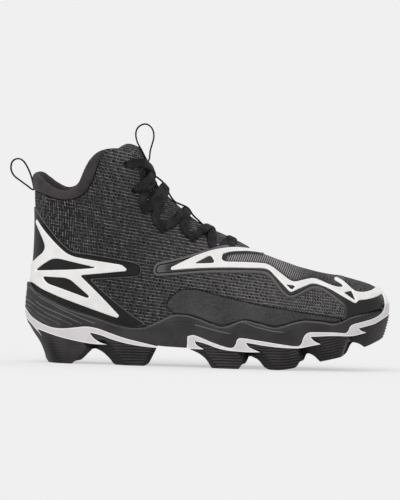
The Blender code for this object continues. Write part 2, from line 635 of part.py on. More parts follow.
def crest(station):
    """Top of the tongue between the throat edges."""
    rows = np.array(TONGUE_CREST)
    x = smooth(rows[:, (0, 1)], station)
    z = smooth(rows[:, (0, 2)], station)
    return np.array([float(x), float(SHAPE["spine"](station)), float(z)])


def tongue_row(station):
    """Points across the tongue's outer face at one station, from the lateral wing to the medial one."""
    under = np.array(-(WALL + 3 * GAP))
    last = TONGUE_CREST[-1][0]
    end = raised(np.array(max(station, THROAT_END)), np.array(1.0), under)
    share = np.clip((station - last) / (THROAT_END - last), 0, 1)
    middle = crest(min(station, last)) * (1 - share) + end * share
    points = []
    for side in (-1, 1):
        for distance in (TONGUE_WING, TONGUE_UNDER):
            if station < last:
                place, height = beside_throat(station, side, distance)
            else:
                place, height = side * station, 1 - distance / 75
            points.append(raised(np.array(place), np.array(height), under))
    lateral_wing, lateral_edge, medial_wing, medial_edge = points
    return bow([lateral_wing, lateral_edge, middle, medial_edge, medial_wing], np.linspace(0, 1, 11))


def tongue():
    """Padded strip from under the vamp to above the collar."""
    rows = [tongue_row(station) for station in TONGUE_ROWS]
    rise = TONGUE_RISE * np.array((-0.42, 0, 0.9))
    outer = np.array([rows[0] + rise, *rows])
    across = np.gradient(outer, axis=1)
    along = np.gradient(outer, axis=0)
    normal = np.cross(along, across)
    normal /= np.linalg.norm(normal, axis=-1, keepdims=True)
    if normal[0, 5, 0] < 0:
        normal = -normal
    share = np.sin(np.linspace(0, math.pi, outer.shape[1]))
    thick = TONGUE_EDGE_THICK + (TONGUE_THICK - TONGUE_EDGE_THICK) * share
    inner = outer - normal * thick[None, :, None]
    bm = bmesh.new()
    loops = np.concatenate([outer, inner[:, ::-1]], axis=1)
    sections = add_points(bm, loops)
    tube(bm, sections)
    count = outer.shape[1]
    for end in (sections[0], sections[-1]):
        tube(bm, [end[:count], end[:count - 1:-1]], closed_ring=False)
    return finished(bm, "tongue", BLACK)


def lace_bar(name, first, second, over, colour=None):
    """One flat lace from a lateral keeper, over the tongue, to a medial keeper."""
    step = second[0] - first[0]
    ends = [beside_throat(first[0], -1, first[1]), beside_throat(second[0], 1, second[1])]
    ends_out = [facing(np.array(place), np.array(height)) for place, height in ends]
    tips = [raised(np.array(place), np.array(height), np.array(1.6)) for place, height in ends]
    edges = [raised(np.array(-(first[0] + 0.15 * step)), np.array(1.0), np.array(2.0)),
             raised(np.array(second[0] - 0.15 * step), np.array(1.0), np.array(2.0))]
    middle_station = first[0] + 0.5 * step
    run = crest(middle_station + 0.2) - crest(middle_station - 0.2)
    up = np.cross(run, (0, 1.0, 0))
    up *= math.copysign(1, up[2]) / np.linalg.norm(up)
    middle = crest(middle_station) + up * (1.9 + over)
    path = bow([tips[0], edges[0], middle, edges[1], tips[1]], np.linspace(0, 1, 41))
    run = np.concatenate([[0], np.cumsum(np.linalg.norm(np.diff(path, axis=0), axis=1))])
    stops = np.linspace(LACE_STOP, run[-1] - LACE_STOP, LACE_SECTIONS)
    path = np.stack([np.interp(stops, run, axis) for axis in path.T], axis=1)
    tangent = np.gradient(path, axis=0)
    out = bow([ends_out[0], up, ends_out[1]], np.linspace(0, 1, LACE_SECTIONS))
    across = np.cross(tangent, out)
    across /= np.linalg.norm(across, axis=1, keepdims=True)
    out = np.cross(across, tangent)
    out /= np.linalg.norm(out, axis=1, keepdims=True)
    bm = bmesh.new()
    half_wide, half_thick = LACE_WIDTH / 2, LACE_THICK / 2
    corners = ((-1, -1), (1, -1), (1, 1), (-1, 1))
    rings = [path + across * (w * half_wide) + out * (t * half_thick) for w, t in corners]
    sections = add_points(bm, np.stack(rings, axis=1))
    tube(bm, sections)
    for end in (sections[0], sections[-1]):
        bm.faces.new(end)
    return finished(bm, name, colour)


def laces():
    """Each crossing is two flat laces joined where they cross."""
    for number in range(len(KEEPERS) - 1):
        first, second = KEEPERS[number], KEEPERS[number + 1]
        name = f"lace_crossing_{number + 1}"
        crossing = lace_bar(name, first, second, 0.0, DARK)
        cut(crossing, "UNION", lace_bar(name + "_over", second, first, 0.75))


def lace_keepers():
    """Webbing keepers on both sides of the throat, below the punched eyelets."""
    for number, (station, distance) in enumerate(KEEPERS[WEBBED], WEBBED.start + 1):
        for side, side_name in ((-1, "lateral"), (1, "medial")):
            place, height = beside_throat(station, side, distance)
            middle = raised(np.array(place), np.array(height), np.array(1.0))
            out = facing(np.array(place), np.array(height))
            up = surface(place, min(height + 0.05, 1)) - surface(place, height - 0.05)
            up -= out * np.dot(up, out)
            up *= KEEPER_HALF / np.linalg.norm(up)
            across = np.cross(out, up)
            bm = bmesh.new()
            rings = []
            for lift in (0, WEBBING_THICK):
                corners = [middle + out * lift + across * a + up * b for a, b in ((-1, -1), (1, -1), (1, 1), (-1, 1))]
                rings.append(add_points(bm, corners))
                bm.faces.new(rings[-1])
            tube(bm, rings)
            finished(bm, f"lace_keeper_{side_name}_{number}", BLACK)


def pull_loop(name, line):
    """A folded webbing loop seen edge on from the side."""
    thick = WEBBING_THICK / 2
    bm = bmesh.new()
    rings = []
    for outline in (outset(line, thick), outset(line, -thick)):
        for y in (-WEBBING_WIDTH / 2, WEBBING_WIDTH / 2):
            rings.append([bm.verts.new((x, y, z)) for x, z in outline])
    tube(bm, [rings[0], rings[1], rings[3], rings[2]], closed_run=True)
    return finished(bm, name, BLACK)


def eyelet_cutter():
    """Hidden pins that punch the upper eyelets through the quarters."""
    bm = bmesh.new()
    turns = np.linspace(0, 2 * math.pi, 10, endpoint=False)
    for station, distance in KEEPERS[PUNCHED]:
        for side in (-1, 1):
            place, height = beside_throat(station, side, distance)
            middle = surface(place, height)
            axis = facing(place, height)
            across = np.cross(axis, (0, 0, 1.0))
            across /= np.linalg.norm(across)
            up = np.cross(axis, across)
            circle = np.outer(np.cos(turns), across) + np.outer(np.sin(turns), up)
            rings = [add_points(bm, middle + circle * EYELET_RADIUS + axis * reach) for reach in (-WALL - 2, 2)]
            tube(bm, rings)
            for ring in rings:
                bm.faces.new(ring)
    return finished(bm, "eyelet_cutter")


def set_origin():
    """Moves everything so that the origin is under the middle of the whole shoe."""
    bpy.context.view_layer.update()
    graph = bpy.context.evaluated_depsgraph_get()
    corners = []
    for made in bpy.data.objects:
        if not made.hide_render:
            mesh = made.evaluated_get(graph).to_mesh()
            corners.append([vertex.co[:] for vertex in mesh.vertices])
            made.evaluated_get(graph).to_mesh_clear()
    points = np.concatenate(corners)
    middle = (points.min(axis=0) + points.max(axis=0)) / 2
    for made in bpy.data.objects:
        made.location = (-middle[0], -middle[1], -points.min(axis=0)[2])


upper = wall("upper", 0.0, -WALL, DARK, below_cuff=True, flat_foot=True)
cut(upper, "DIFFERENCE", eyelet_cutter())
collar_cuff()
tongue()
insole()
midsole()

core = sole_core()
sole_layer("heel_plate", HEEL_PLATE_TOP, HEEL_PLATE_LOW, core, WHITE)
sole_layer("forefoot_plate", FORE_PLATE_TOP, FORE_PLATE_LOW, core, WHITE)
sole_layer("heel_outsole", HEEL_PLATE_LOW, HEEL_STUD_LOW, core, BLACK, HEEL_CHANNEL)
sole_layer("forefoot_outsole", FORE_PLATE_LOW, FORE_STUD_LOW, core, BLACK, FORE_CHANNEL)

overlay("heel_counter", 0.3, 1.1, [*COUNTER, *above_rim(COUNTER_RIM, 2 * GAP)], None, BLACK)
overlay("heel_frame", 1.4, 2.6, HEEL_FRAME, HEEL_WINDOWS, WHITE)
overlay("vamp_frame", 1.4, 2.6, VAMP_FRAME, [VAMP_WINDOW, *VAMP_HOLES], WHITE)
backing = [*BACKING, *above_rim(BACKING_RIM, 4 * GAP), *BACKING_LOW]
overlay("vamp_backing", 0.3, 1.1, backing, [BACKING_WINDOW], BLACK)
panel = [*PANEL, *above_rim(PANEL_RIM, 4 * GAP)]
overlay("side_panel_lateral", 0.3, 1.1, panel, None, DARK, sides=(-80, 0))
overlay("side_panel_medial", 0.3, 1.1, panel, None, DARK, sides=(0, 80))

laces()
lace_keepers()
pull_loop("heel_pull_loop", HEEL_LOOP)
pull_loop("tongue_pull_loop", TONGUE_LOOP)
set_origin()
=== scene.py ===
"""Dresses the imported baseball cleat: woven quarters, ribbed vamp, moulded films and frames, laces and sole.

Sizes are in shoe millimetres, as in the solids: +X heel to toe, +Y to the medial side, +Z up, studs at Z 0.
Points become metres in the row frame only when a mesh is made.
"""

import functools
import json
import logging
import math
from dataclasses import dataclass
from enum import Enum
from typing import Any, Callable, Iterable, Sequence, Union

import bmesh
import bpy
import numpy as np
from mathutils import Color, Matrix, Vector

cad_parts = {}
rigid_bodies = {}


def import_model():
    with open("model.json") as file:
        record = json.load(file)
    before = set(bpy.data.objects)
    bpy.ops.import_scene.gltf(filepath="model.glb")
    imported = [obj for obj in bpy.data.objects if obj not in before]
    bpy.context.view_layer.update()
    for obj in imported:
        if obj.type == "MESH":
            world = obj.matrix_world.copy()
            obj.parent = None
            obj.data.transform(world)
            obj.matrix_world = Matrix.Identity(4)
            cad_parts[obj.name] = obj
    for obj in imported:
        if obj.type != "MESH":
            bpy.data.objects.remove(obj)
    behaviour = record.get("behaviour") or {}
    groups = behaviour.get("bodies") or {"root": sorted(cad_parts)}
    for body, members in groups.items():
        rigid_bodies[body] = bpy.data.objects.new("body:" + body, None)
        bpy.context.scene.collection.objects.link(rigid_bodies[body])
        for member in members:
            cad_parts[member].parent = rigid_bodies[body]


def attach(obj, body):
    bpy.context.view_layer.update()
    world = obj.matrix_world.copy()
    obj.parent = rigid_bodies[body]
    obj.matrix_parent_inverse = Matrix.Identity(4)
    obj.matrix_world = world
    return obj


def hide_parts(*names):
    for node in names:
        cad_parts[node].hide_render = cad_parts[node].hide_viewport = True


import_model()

LOG = logging.getLogger("cleat")
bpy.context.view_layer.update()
MM = 0.001
TINY = 1e-9
# Where the row frame's origin lies, in shoe millimetres.
ORIGIN = np.array((142.2695, 0.5856, 0.15))
# The columns of a point (x, y, z) that show from the side.
SEEN = (0, 2)
# The attribute with each point's lay: millimetres along its piece, across it and in from its rim.
LAY = "lay"
WHITE_LEVEL = 255

Array = np.ndarray
Outline = Sequence[tuple[float, float]]
Polygons = list[list[int]]
Span = tuple[float, float]
Tone = tuple[float, float, float]

# One row per rib of the last, from the back of the heel to the tip of the toe: its foot on the feather line,
# its top, the degrees that it turns through, its swell low and high up, the shoe's middle, the medial rise.
STATION_COLUMNS = (
    "foot_x", "foot_lateral", "foot_medial", "top_x", "top_z", "top_half", "arc", "belly", "waist", "spine",
    "medial_rise",
)
STATIONS = (
    (5.4, 0.0, 0.0, 4.0, 155.2, 0.0, 30, 1.2, -1.2, 0.0, 0),
    (8.2, 13.0, 13.0, 6.0, 153.4, 11.0, 30, 1.6, -1.8, 0.0, 3.2),
    (14.4, 22.0, 22.0, 11.0, 149.8, 20.5, 30, 2.2, -2.4, 0.0, 5.4),
    (22.0, 27.2, 27.0, 21.0, 143.2, 28.3, 30, 2.8, -2.8, 0.0, 5.2),
    (30.0, 30.0, 29.8, 33.0, 141.4, 32.5, 30, 3.0, -2.6, 0.0, 2.8),
    (38.0, 31.4, 31.2, 43.4, 149.0, 33.6, 30, 3.0, -2.2, 0.0, 2.2),
    (45.5, 32.0, 31.6, 50.6, 165.2, 32.4, 32, 3.0, -1.8, 0.0, 1.2),
    (53.0, 32.4, 31.6, 60.5, 175.4, 29.6, 34, 3.0, -1.4, 0.0, 0.5),
    (61.5, 32.9, 31.5, 76.0, 177.4, 25.0, 40, 2.8, -1.0, 0.2, 0),
    (74.0, 33.7, 31.0, 88.0, 168.6, 21.5, 46, 2.6, -0.6, 0.5, 0),
    (96.0, 35.2, 30.2, 95.2, 144.8, 20.0, 53, 2.4, -0.3, 1.0, 0),
    (131.0, 39.3, 32.8, 111.0, 125.6, 19.2, 61, 2.2, 0.0, 1.6, 0),
    (168.0, 44.9, 40.8, 134.0, 113.6, 17.6, 69, 2.0, 0.0, 2.2, 0),
    (200.0, 47.0, 46.8, 159.0, 103.0, 14.6, 78, 2.0, 0.3, 3.0, 0),
    (220.0, 45.4, 48.2, 176.5, 99.0, 9.6, 84, 2.0, 0.6, 3.6, 0),
    (235.0, 42.3, 47.5, 187.5, 96.4, 0.0, 90, 2.0, 0.8, 4.2, 0),
    (247.0, 38.4, 45.6, 205.0, 90.4, 0.0, 90, 2.0, 1.0, 5.2, 0),
    (258.5, 33.2, 42.4, 223.0, 84.4, 0.0, 90, 2.0, 1.2, 6.2, 0),
    (269.5, 26.6, 37.8, 240.0, 80.1, 0.0, 90, 2.0, 1.4, 7.0, 0),
    (279.5, 18.6, 31.8, 254.5, 78.1, 0.0, 84, 2.0, 1.5, 7.8, 0),
    (287.5, 9.6, 25.0, 265.5, 76.2, 0.0, 76, 2.0, 1.6, 8.3, 0),
    (292.2, 0.6, 16.8, 272.4, 73.9, 0.0, 67, 2.0, 1.6, 8.5, 0),
    (293.8, -8.5, 8.5, 277.0, 71.2, 0.0, 63, 2.0, 1.6, 8.5, 0),
)
TOE = len(STATIONS) - 1
# Stations where the throat and the cuff end, and the station in the middle of the throat.
THROAT_END = 15
CUFF_END = 7.12
MIDDLE_STATION = 11.0
# Thickness of the upper's wall, and the gap between neighbouring pieces.
WALL = 2.2
GAP = 0.3

# Heights along the shoe, as (x, z).
FEATHER = (
    (0, 42), (10, 39.6), (30, 36.4), (60, 33.4), (95, 30), (130, 29.6), (165, 29.2), (200, 30.2),
    (230, 34.4), (253, 36), (265, 38.6), (272, 42), (284, 45.8), (292, 48.6), (297, 50.6),
)
RIM = (
    (0, 68.5), (4.8, 65), (10.8, 58.2), (22.3, 51.1), (40, 43.5), (57.5, 38.5), (77.3, 32.4), (90, 30.6),
    (97.5, 30.8), (111.8, 37.1), (125.7, 42.7), (133.7, 42.4), (144.4, 39.6), (163.4, 33.8), (181.1, 39.7),
    (193.9, 36.9), (206.6, 34.4), (220.7, 38.7), (231, 40.6), (244.5, 39.9), (253.2, 38.6), (260.3, 40.3),
    (268.8, 44.6), (280.6, 47.6), (297, 53),
)
FLOOR = ((0, 0), (212, 0), (226, 2.4), (244, 7), (265, 12.5), (281, 19.5), (300, 29))

# Side edges of the plates and studs, as (x, z), from heel to toe.
HEEL_PLATE_TOP = (
    (-8, 49), (0.8, 44.1), (5.3, 37.5), (14.3, 31.7), (24.2, 28.3), (33.4, 28), (51.9, 30.5), (60.6, 29.3),
    (71.2, 25.6), (83.9, 21.5), (96.6, 18.8), (111, 15.8),
)
HEEL_PLATE_LOW = (
    (-8, 43), (2.9, 33.6), (15.8, 20.4), (11.5, 26.4), (29, 20.8), (46.6, 17.3), (58.2, 15.6), (69.7, 15.7),
    (63.9, 17.3), (58, 20.9), (55, 25.1), (63.7, 23.4), (71.3, 20.5), (84, 17.1), (96.1, 15.2), (110, 14.2),
)
HEEL_STUD_LOW = (
    (-8, 42), (2.6, 33.2), (8.4, 24.4), (14.4, 16.4), (17.9, 7.4), (18.5, 2.2), (20.5, 0), (41, 0),
    (43.3, 2.5), (48.6, 3.2), (57.5, 12.8), (60, 12.8), (65.9, 10.1), (71.9, 4.6), (75.2, 0), (100.3, 0),
    (104.1, 2.2), (109.4, 13.6),
)
FORE_PLATE_TOP = (
    (134.8, 15), (134.8, 25), (139.6, 26.3), (146.4, 24), (154.9, 20.5), (163.4, 17.8), (169.5, 16.4),
    (172.6, 16.8), (174.2, 19.4), (175.2, 23.4), (177.2, 24.9), (182.4, 24.6), (209.7, 20.8), (220.6, 19.4),
    (226, 19.4), (228, 21.6), (229.1, 26.3), (231.2, 29.8), (234.6, 31.2), (253.4, 31.4), (264.2, 31.3),
    (266.2, 33.4), (267.4, 37.2), (270.2, 39.3), (276, 40.8), (285.9, 43.6), (291.3, 46.3), (294.4, 49.2),
    (295.9, 52), (296.3, 56), (308, 60),
)
FORE_PLATE_LOW = (
    (136, 14.4), (149.3, 14.2), (142.4, 17.9), (141, 20.9), (149.9, 19), (159.3, 15.5), (167.8, 13.9),
    (184.6, 13), (195.2, 13.4), (185.4, 17.2), (182.7, 20.9), (197.2, 18.8), (209.8, 17.5), (226.2, 17.2),
    (235.6, 19.5), (244.6, 21.3), (238.7, 23.5), (235.4, 27), (253.5, 28.3), (269.3, 28.7), (282.3, 32.3),
    (277, 33.9), (275.1, 35.7), (288.7, 39.2), (296.5, 44.2), (308, 51.5),
)
FORE_STUD_LOW = (
    (138.5, 14), (144, 12), (150.3, 7.7), (155.2, 0), (177.4, 0), (179.9, 3.9), (183.2, 4.9),
    (185.6, 10.4), (187.6, 10.4), (193.3, 8.1), (199.6, 0), (212, 0), (224.4, 2.4), (227.3, 7.8),
    (230.4, 8.4), (233, 14), (235.2, 14), (239, 12.2), (243.9, 7.4), (265, 12.8), (268.7, 22),
    (270.6, 24), (275.7, 23), (280.6, 19.8), (297.3, 27.8), (299.6, 38), (308, 50),
)
# Slanted facets of the studs: top and low end of the facet's edge on the side, as (x, z), then how far the
# facet runs along the shoe and in across it.
HEEL_FACETS = (
    (54.2, 15.0, 43.6, 2.6, 5.5, 7.0),
    (74.0, 14.5, 85.5, 0.6, -11.5, 11.0),
    (104.5, 12.0, 98.5, 0.0, 5.0, 6.0),
)
FORE_FACETS = (
    (149.5, 13.9, 160.5, 0.0, -10.0, 10.0),
    (179.9, 12.8, 179.5, 4.2, 6.5, 8.0),
    (199.0, 12.0, 210.0, 0.0, -11.4, 11.0),
    (226.5, 14.0, 226.5, 4.0, 7.0, 8.0),
    (245.0, 22.0, 254.5, 9.9, -13.0, 11.0),
    (264.0, 22.0, 260.5, 12.0, 6.0, 7.0),
    (278.0, 32.0, 286.0, 23.5, -8.0, 6.0),
)
# The two foremost facet edges that slant forward, which show as dark lines of painted shade, as (x, z).
FACET_LINES = tuple((FORE_FACETS[number][:2], FORE_FACETS[number][2:4]) for number in (4, 6))
# Ribs of the midsole's side, as (x, z): five at the heel and two long soft ones further on.
HEEL_RIBS = (
    ((-6, 70), (4.2, 61.8), (13.3, 53.5), (21, 49.6), (35.9, 42.4), (48.7, 37.4), (59, 33.7)),
    ((-6, 62), (4.7, 54.2), (13.5, 47.5), (23.1, 43.3), (36, 38.3), (48.2, 33.3)),
    ((-6, 57), (5.2, 49.8), (11.6, 45.5), (18.8, 41), (28.4, 37.1), (40, 32.3)),
    ((-6, 53), (5.6, 46), (10.5, 41.7), (16.9, 38.1), (24.7, 35.1), (30.5, 31.8)),
    ((-6, 50), (6, 42.2), (10.6, 38.2), (16.4, 34.9), (21.6, 31.8)),
)
SIDE_RIBS = (
    ((140, 35.6), (149.1, 33.3), (154.9, 31.9), (163.2, 30), (171.5, 28.7)),
    ((178, 39), (182.8, 37.7), (190.3, 35), (204.4, 32), (215.2, 31.2)),
)
# Channels between the stud rows, as (x, z), and how far they reach to the lateral and the medial side.
HEEL_CHANNEL = ((23, -6), (116, -6), (116, 11.5), (23, 11.5))
FORE_CHANNEL = ((132, -6), (267, -6), (267, 20), (240, 16.5), (226, 9.8), (132, 9.8))
CHANNEL_SIDES = (-13.0, 15.0)
# Corners below and in front of the shoe that close what is cut off under the midsole, as (x, z).
BELOW_HEEL = (-12, -12)
BELOW_TOE = ((312, 60), (312, -12))
# Places along the rim where the midsole's edge is taken, and corners above the shoe, as (x, z).
RIM_PLACES = np.linspace(-2, 300, 150)
ABOVE_SHOE = ((330, 200), (-30, 200))

# Outlines of the layers seen from the side, as (x, z). Outlines that pass beyond the shoe wrap over it.
COUNTER = (
    (-6, 129.4), (5.7, 128.5), (8.7, 124.9), (15.3, 114.9), (28.4, 99.5), (38.8, 91.4), (53.9, 90.4),
    (71.7, 87.8), (89.5, 84.8), (94.9, 82.4), (95.8, 77.1), (93.8, 73.0), (79.8, 71.7), (54.5, 69.6),
    (61.1, 63.5), (74.1, 52.5), (90.8, 40.4), (101, 34.4),
)
COUNTER_RIM = (92, 80, 68, 57, 46, 35, 25, 16, 9, 3, -6)
HEEL_FRAME = (
    (8.9, 117.9), (15.5, 108.6), (23.3, 100), (30.5, 93.3), (35, 89.9), (41.4, 87.6), (57.2, 85.2),
    (79.5, 82.4), (84, 78.7), (83, 77.2), (67, 75.3), (45.6, 72.8), (61.2, 58.4), (78.9, 40.7), (77.6, 38.7),
    (73.2, 39.8), (55.3, 45.6), (29.8, 54.3), (14.5, 60.7), (7.3, 65.6), (-6, 67.4), (-6, 78.1), (5.7, 81.4),
    (9.9, 85.7), (14.8, 90.3), (16.5, 93.7), (16.1, 97.4), (13, 104.8), (8.3, 114.7),
)
HEEL_WINDOWS = (
    ((9.5, 75.6), (16.3, 81.5), (22.5, 85.5), (28.1, 85.8), (41.5, 82.9), (59.6, 79.4), (41.7, 77.5)),
    (
        (15.7, 70.8), (33.7, 70.3), (38.2, 68.6), (54.1, 55.5), (51.9, 54.5), (35.9, 60), (19.9, 65.2),
        (16.7, 68.2),
    ),
)
VAMP_FRAME = (
    (119.4, 79.9), (120, 81.5), (130.1, 86.7), (139.5, 91.4), (152.1, 95.7), (160.3, 97.4), (171, 98.5),
    (187, 97.2), (187.5, 112), (310, 112), (310, 53.4), (295.2, 53.4), (294.8, 59.3), (293.2, 63.6),
    (288.3, 60.2), (281, 58.4), (273.7, 58.2), (271.6, 55.4), (259.9, 61.4), (249.2, 67.4), (238.6, 70.7),
    (234.4, 70.6), (223.9, 66.1), (217.7, 63.2), (206.9, 74), (200.4, 80.6), (196.1, 82.1), (164.5, 82.2),
    (138.4, 81), (120, 79),
)
VAMP_WINDOW = (
    (160.9, 88.4), (161.6, 93.0), (168.4, 94.6), (181, 95.3), (188.9, 94.7), (194.5, 93.6), (195, 112),
    (288.8, 112), (288.8, 70), (288, 67.6), (282.4, 64.8), (276.1, 64.2), (270.2, 65.6), (260.8, 73.6),
    (256.9, 75.5), (255.2, 76.2), (253.9, 75.4), (254, 74.2), (259.4, 71.2), (261.3, 68.5), (256.2, 68.3),
    (249.9, 70.1), (241.9, 73.4), (236.9, 75), (231.6, 74.3), (221.2, 71.8), (217.5, 72.6), (208.4, 79.1),
    (202.9, 83.2), (197.6, 85.7), (183.9, 86.7), (163.6, 86.8),
)
VAMP_HOLES = (
    ((138.9, 84.9), (150.7, 91.3), (152.6, 90.8), (155.0, 86.8), (153.7, 85.5)),
    ((213.8, 69.6), (221.8, 68.6), (218.8, 65.3)),
    ((261.6, 64), (267.9, 65.6), (271.3, 57.8)),
)
BACKING = (
    (105, 79), (106.7, 83.5), (109.8, 85.4), (122.3, 88.1), (135.4, 92), (145.8, 95.5), (160.3, 99.9),
    (172, 101), (187, 100), (187, 112), (310, 112),
)
BACKING_RIM = (310, 294, 286, 278, 270, 262)
BACKING_LOW = (
    (263.3, 52), (255.8, 58.1), (245, 65.1), (238.7, 67.1), (233.4, 65.9), (222.1, 59.7), (216.8, 58.5),
    (211.4, 62.1), (200.5, 75.3), (196.3, 77.9), (185.7, 78.5), (149, 77.7), (133.3, 76.1), (108.1, 73.8),
    (105.9, 75.3),
)
BACKING_WINDOW = (
    (164.2, 88.4), (165, 92), (170, 93.6), (181, 94.2), (189, 93.9), (195.6, 92.9), (196, 112), (255.5, 112),
    (255.5, 77.5), (257, 75), (260.3, 72.2), (258, 70.2), (250, 71.2), (242, 74.5), (237, 76.1),
    (231.5, 75.4), (221.4, 72.9), (217.9, 73.7), (209, 80), (203.4, 84.1), (197.8, 86.3), (184, 87),
    (165.5, 87),
)
TOE_WINDOW = (
    (263, 112), (289.8, 112), (289.8, 70), (288.8, 66.8), (282.6, 63.8), (276, 63.2), (269.6, 64.8),
    (262.8, 71.4),
)
PANEL = (
    (116.1, 50.3), (118.1, 55.1), (123.1, 61), (128.3, 63.8), (133.6, 64.8), (141.5, 64.8), (160.1, 60.2),
    (175.9, 56.8), (191.7, 53.5), (207.5, 51.2), (223.4, 48.9), (235, 47.2), (247.8, 45.5), (257, 44.3),
    (263, 43),
)
PANEL_RIM = (260, 255, 250, 240, 230, 222, 214, 206, 198, 190, 181, 172, 163, 154, 145, 138, 132, 126.5, 123)
# Stretches of the outlines that are stitched, and corners that close two of them below, as (x, z).
BACKING_STITCHED = (2, len(BACKING_LOW) + 8)
PANEL_STITCHED = (4, -8)
PANEL_FOOT = ((263, 20), (116, 20))
COUNTER_STITCHED = (3, 14)
COUNTER_FOOT = ((101, 0), (-6, 0))

# Tongue crest between the throat edges, as (station, x, z).
TONGUE_CREST = (
    (8.35, 92.0, 177.8), (9.0, 97.5, 167.3), (10.0, 106.2, 149.4), (11.0, 121.8, 134.0),
    (12.0, 142.6, 118.2), (13.0, 163.0, 109.2), (13.5, 171.4, 105.6), (14.0, 179.2, 102.0),
    (14.4, 183.6, 99.6),
)

# Eyelets beside the throat, as (station on the throat edge, distance from the edge).
EYELETS = ((9.0, 9.5), (9.95, 9.5))

# Turns of the lace seen from the side, as (x, z), each from one crest down and up to the next.
LACE_TURNS = (
    (
        (103.4, 151.8), (98.4, 146.8), (96.2, 141.5), (94.6, 136.3), (94.6, 132.2), (97.5, 129.3),
        (100.8, 129.8), (103.6, 133.5), (105.8, 138.2), (109.2, 143.4), (112.8, 147.4),
    ),
    (
        (113.2, 147.6), (111.6, 141.4), (109.0, 134.1), (106.5, 127.9), (105.6, 122.2), (107.4, 117.0),
        (112.3, 114.0), (117.2, 115.8), (121.8, 119.9), (126.0, 124.2), (131.2, 128.2),
    ),
    (
        (131.4, 128.2), (129.6, 122.6), (128.8, 116.7), (130.0, 111.4), (133.3, 107.8), (137.2, 107.0),
        (141.5, 109.4), (145.4, 112.8), (150.2, 115.8),
    ),
    ((150.8, 115.4), (152.4, 109.2), (152.8, 101.4), (157.1, 95.0), (163.4, 100.4), (169.2, 106.4)),
)
# The lace's start under the vamp frame and its top run, as (x, z).
LACE_START = ((167.6, 95.6), (168.2, 101.6), (169.2, 106.4))
LACE_TOP = ((86.6, 165.4), (95.0, 165.2), (102.2, 160.4), (99.8, 153.4), (94.2, 148.2))
# Turns from the top that a webbing keeper holds, the number of the first keeper, and the crossings.
KEPT_TURNS = 3
FIRST_KEEPER = 3
CROSSINGS = 6

# Thin tape that holds the laces to the tongue, as (x, z).
TONGUE_TAPE = (
    (101.6, 157.0), (106.6, 154.4), (112.1, 149.4), (116.9, 140.5), (121.2, 135.2), (125.4, 133.3),
    (132.1, 130.3), (136.4, 124.6), (141.0, 120.4), (146.4, 115.4),
)

# Top edge of the tongue, as (x, z).
TONGUE_TOP = ((62, 168), (70, 175.4), (74, 177.7), (78.4, 180.6), (83.1, 182.4), (86, 182), (89.4, 180.4))

# Lower seam of the cuff, as (x, z).
CUFF_LINE = (
    (-6, 142.2), (3, 141.8), (5.5, 141.2), (13, 138.9), (21.3, 135.9), (30.5, 134), (39.5, 135.6),
    (47.6, 140), (54.2, 152.6), (56.4, 161.7), (61.2, 173.4), (66, 182),
)
ABOVE_CUFF = (*CUFF_LINE, (66, 220), (-6, 220))

# White strip down the tip of the toe, as (x, z) on the upper's own face.
TOE_STRIP = ((292.1, 40), (292.6, 52), (292.6, 58), (291, 62), (285, 66), (310, 70), (310, 40))

# Webbing centre lines, as (x, z).
HEEL_LOOP = (
    (4.4, 141.6), (-1.4, 145.2), (-7.1, 149.1), (-11.8, 152.6), (-14.3, 156.7), (-14.8, 160.4),
    (-13.8, 164.3), (-11, 166.6), (-7.7, 166.8), (-4.6, 165), (-1.6, 160.8), (1.2, 155.1), (3.2, 149.0),
)
TONGUE_LOOP = (
    (98.2, 167.8), (92.6, 176.8), (88.9, 183.3), (87.4, 189.1), (88.2, 194.1), (91.2, 197.3), (95.3, 198.5),
    (99.1, 196.8), (101.7, 192.8), (102.3, 187.9), (101.3, 182.9), (99.8, 177.1),
)

# Soft creases of the upper, as (x, z) of both ends, half width and depth; a negative depth is a ridge.
CREASES = (
    (4, 60, 5, 134, 14.0, 2.2),
    (58, 150, 66, 118, 5.0, 0.7),
    (72, 140, 78, 108, 6.0, -0.6),
    (20, 134, 40, 122, 6.0, 0.5),
    (96, 118, 116, 96, 7.0, 0.7),
    (186, 74, 200, 56, 5.0, 0.6),
    (206, 66, 214, 50, 4.5, -0.5),
    (222, 60, 232, 48, 5.0, 0.6),
    (204, 88, 212, 76, 4.0, 0.6),
    (222, 84, 230, 73, 4.0, 0.5),
    (150, 74, 172, 64, 7.0, 0.5),
)
# How far into its swell a crease begins and ends, as a share.
CREASE_ENDS = 0.1

# Points worked out on each stretch of a flowing line, and the fewest steps that it is read at.
FLOW_SAMPLES = 12
FLOW_LEAST = 4
# Turn past which a corner is sharp, points on each corner, the share of an edge that a gentle bend takes up,
# and the longest stretch that a sharp corner takes up.
SHARP_TURN = math.radians(55)
CORNER_SAMPLES = 6
BEND_REACH = 0.46
CORNER = 1.3
# Keeps the corners of an outline from running out to long points.
LEAST_SPREAD = 0.12


class Side(Enum):
    """The two sides of a right shoe, by the sign of Y and of a place round the last."""

    LATERAL = -1
    MEDIAL = 1


def tone(red: float, green: float, blue: float) -> Tone:
    """A screen colour, 0 to 255, as linear light."""
    screen = Color((red / WHITE_LEVEL, green / WHITE_LEVEL, blue / WHITE_LEVEL))
    return tuple(screen.from_srgb_to_scene_linear())


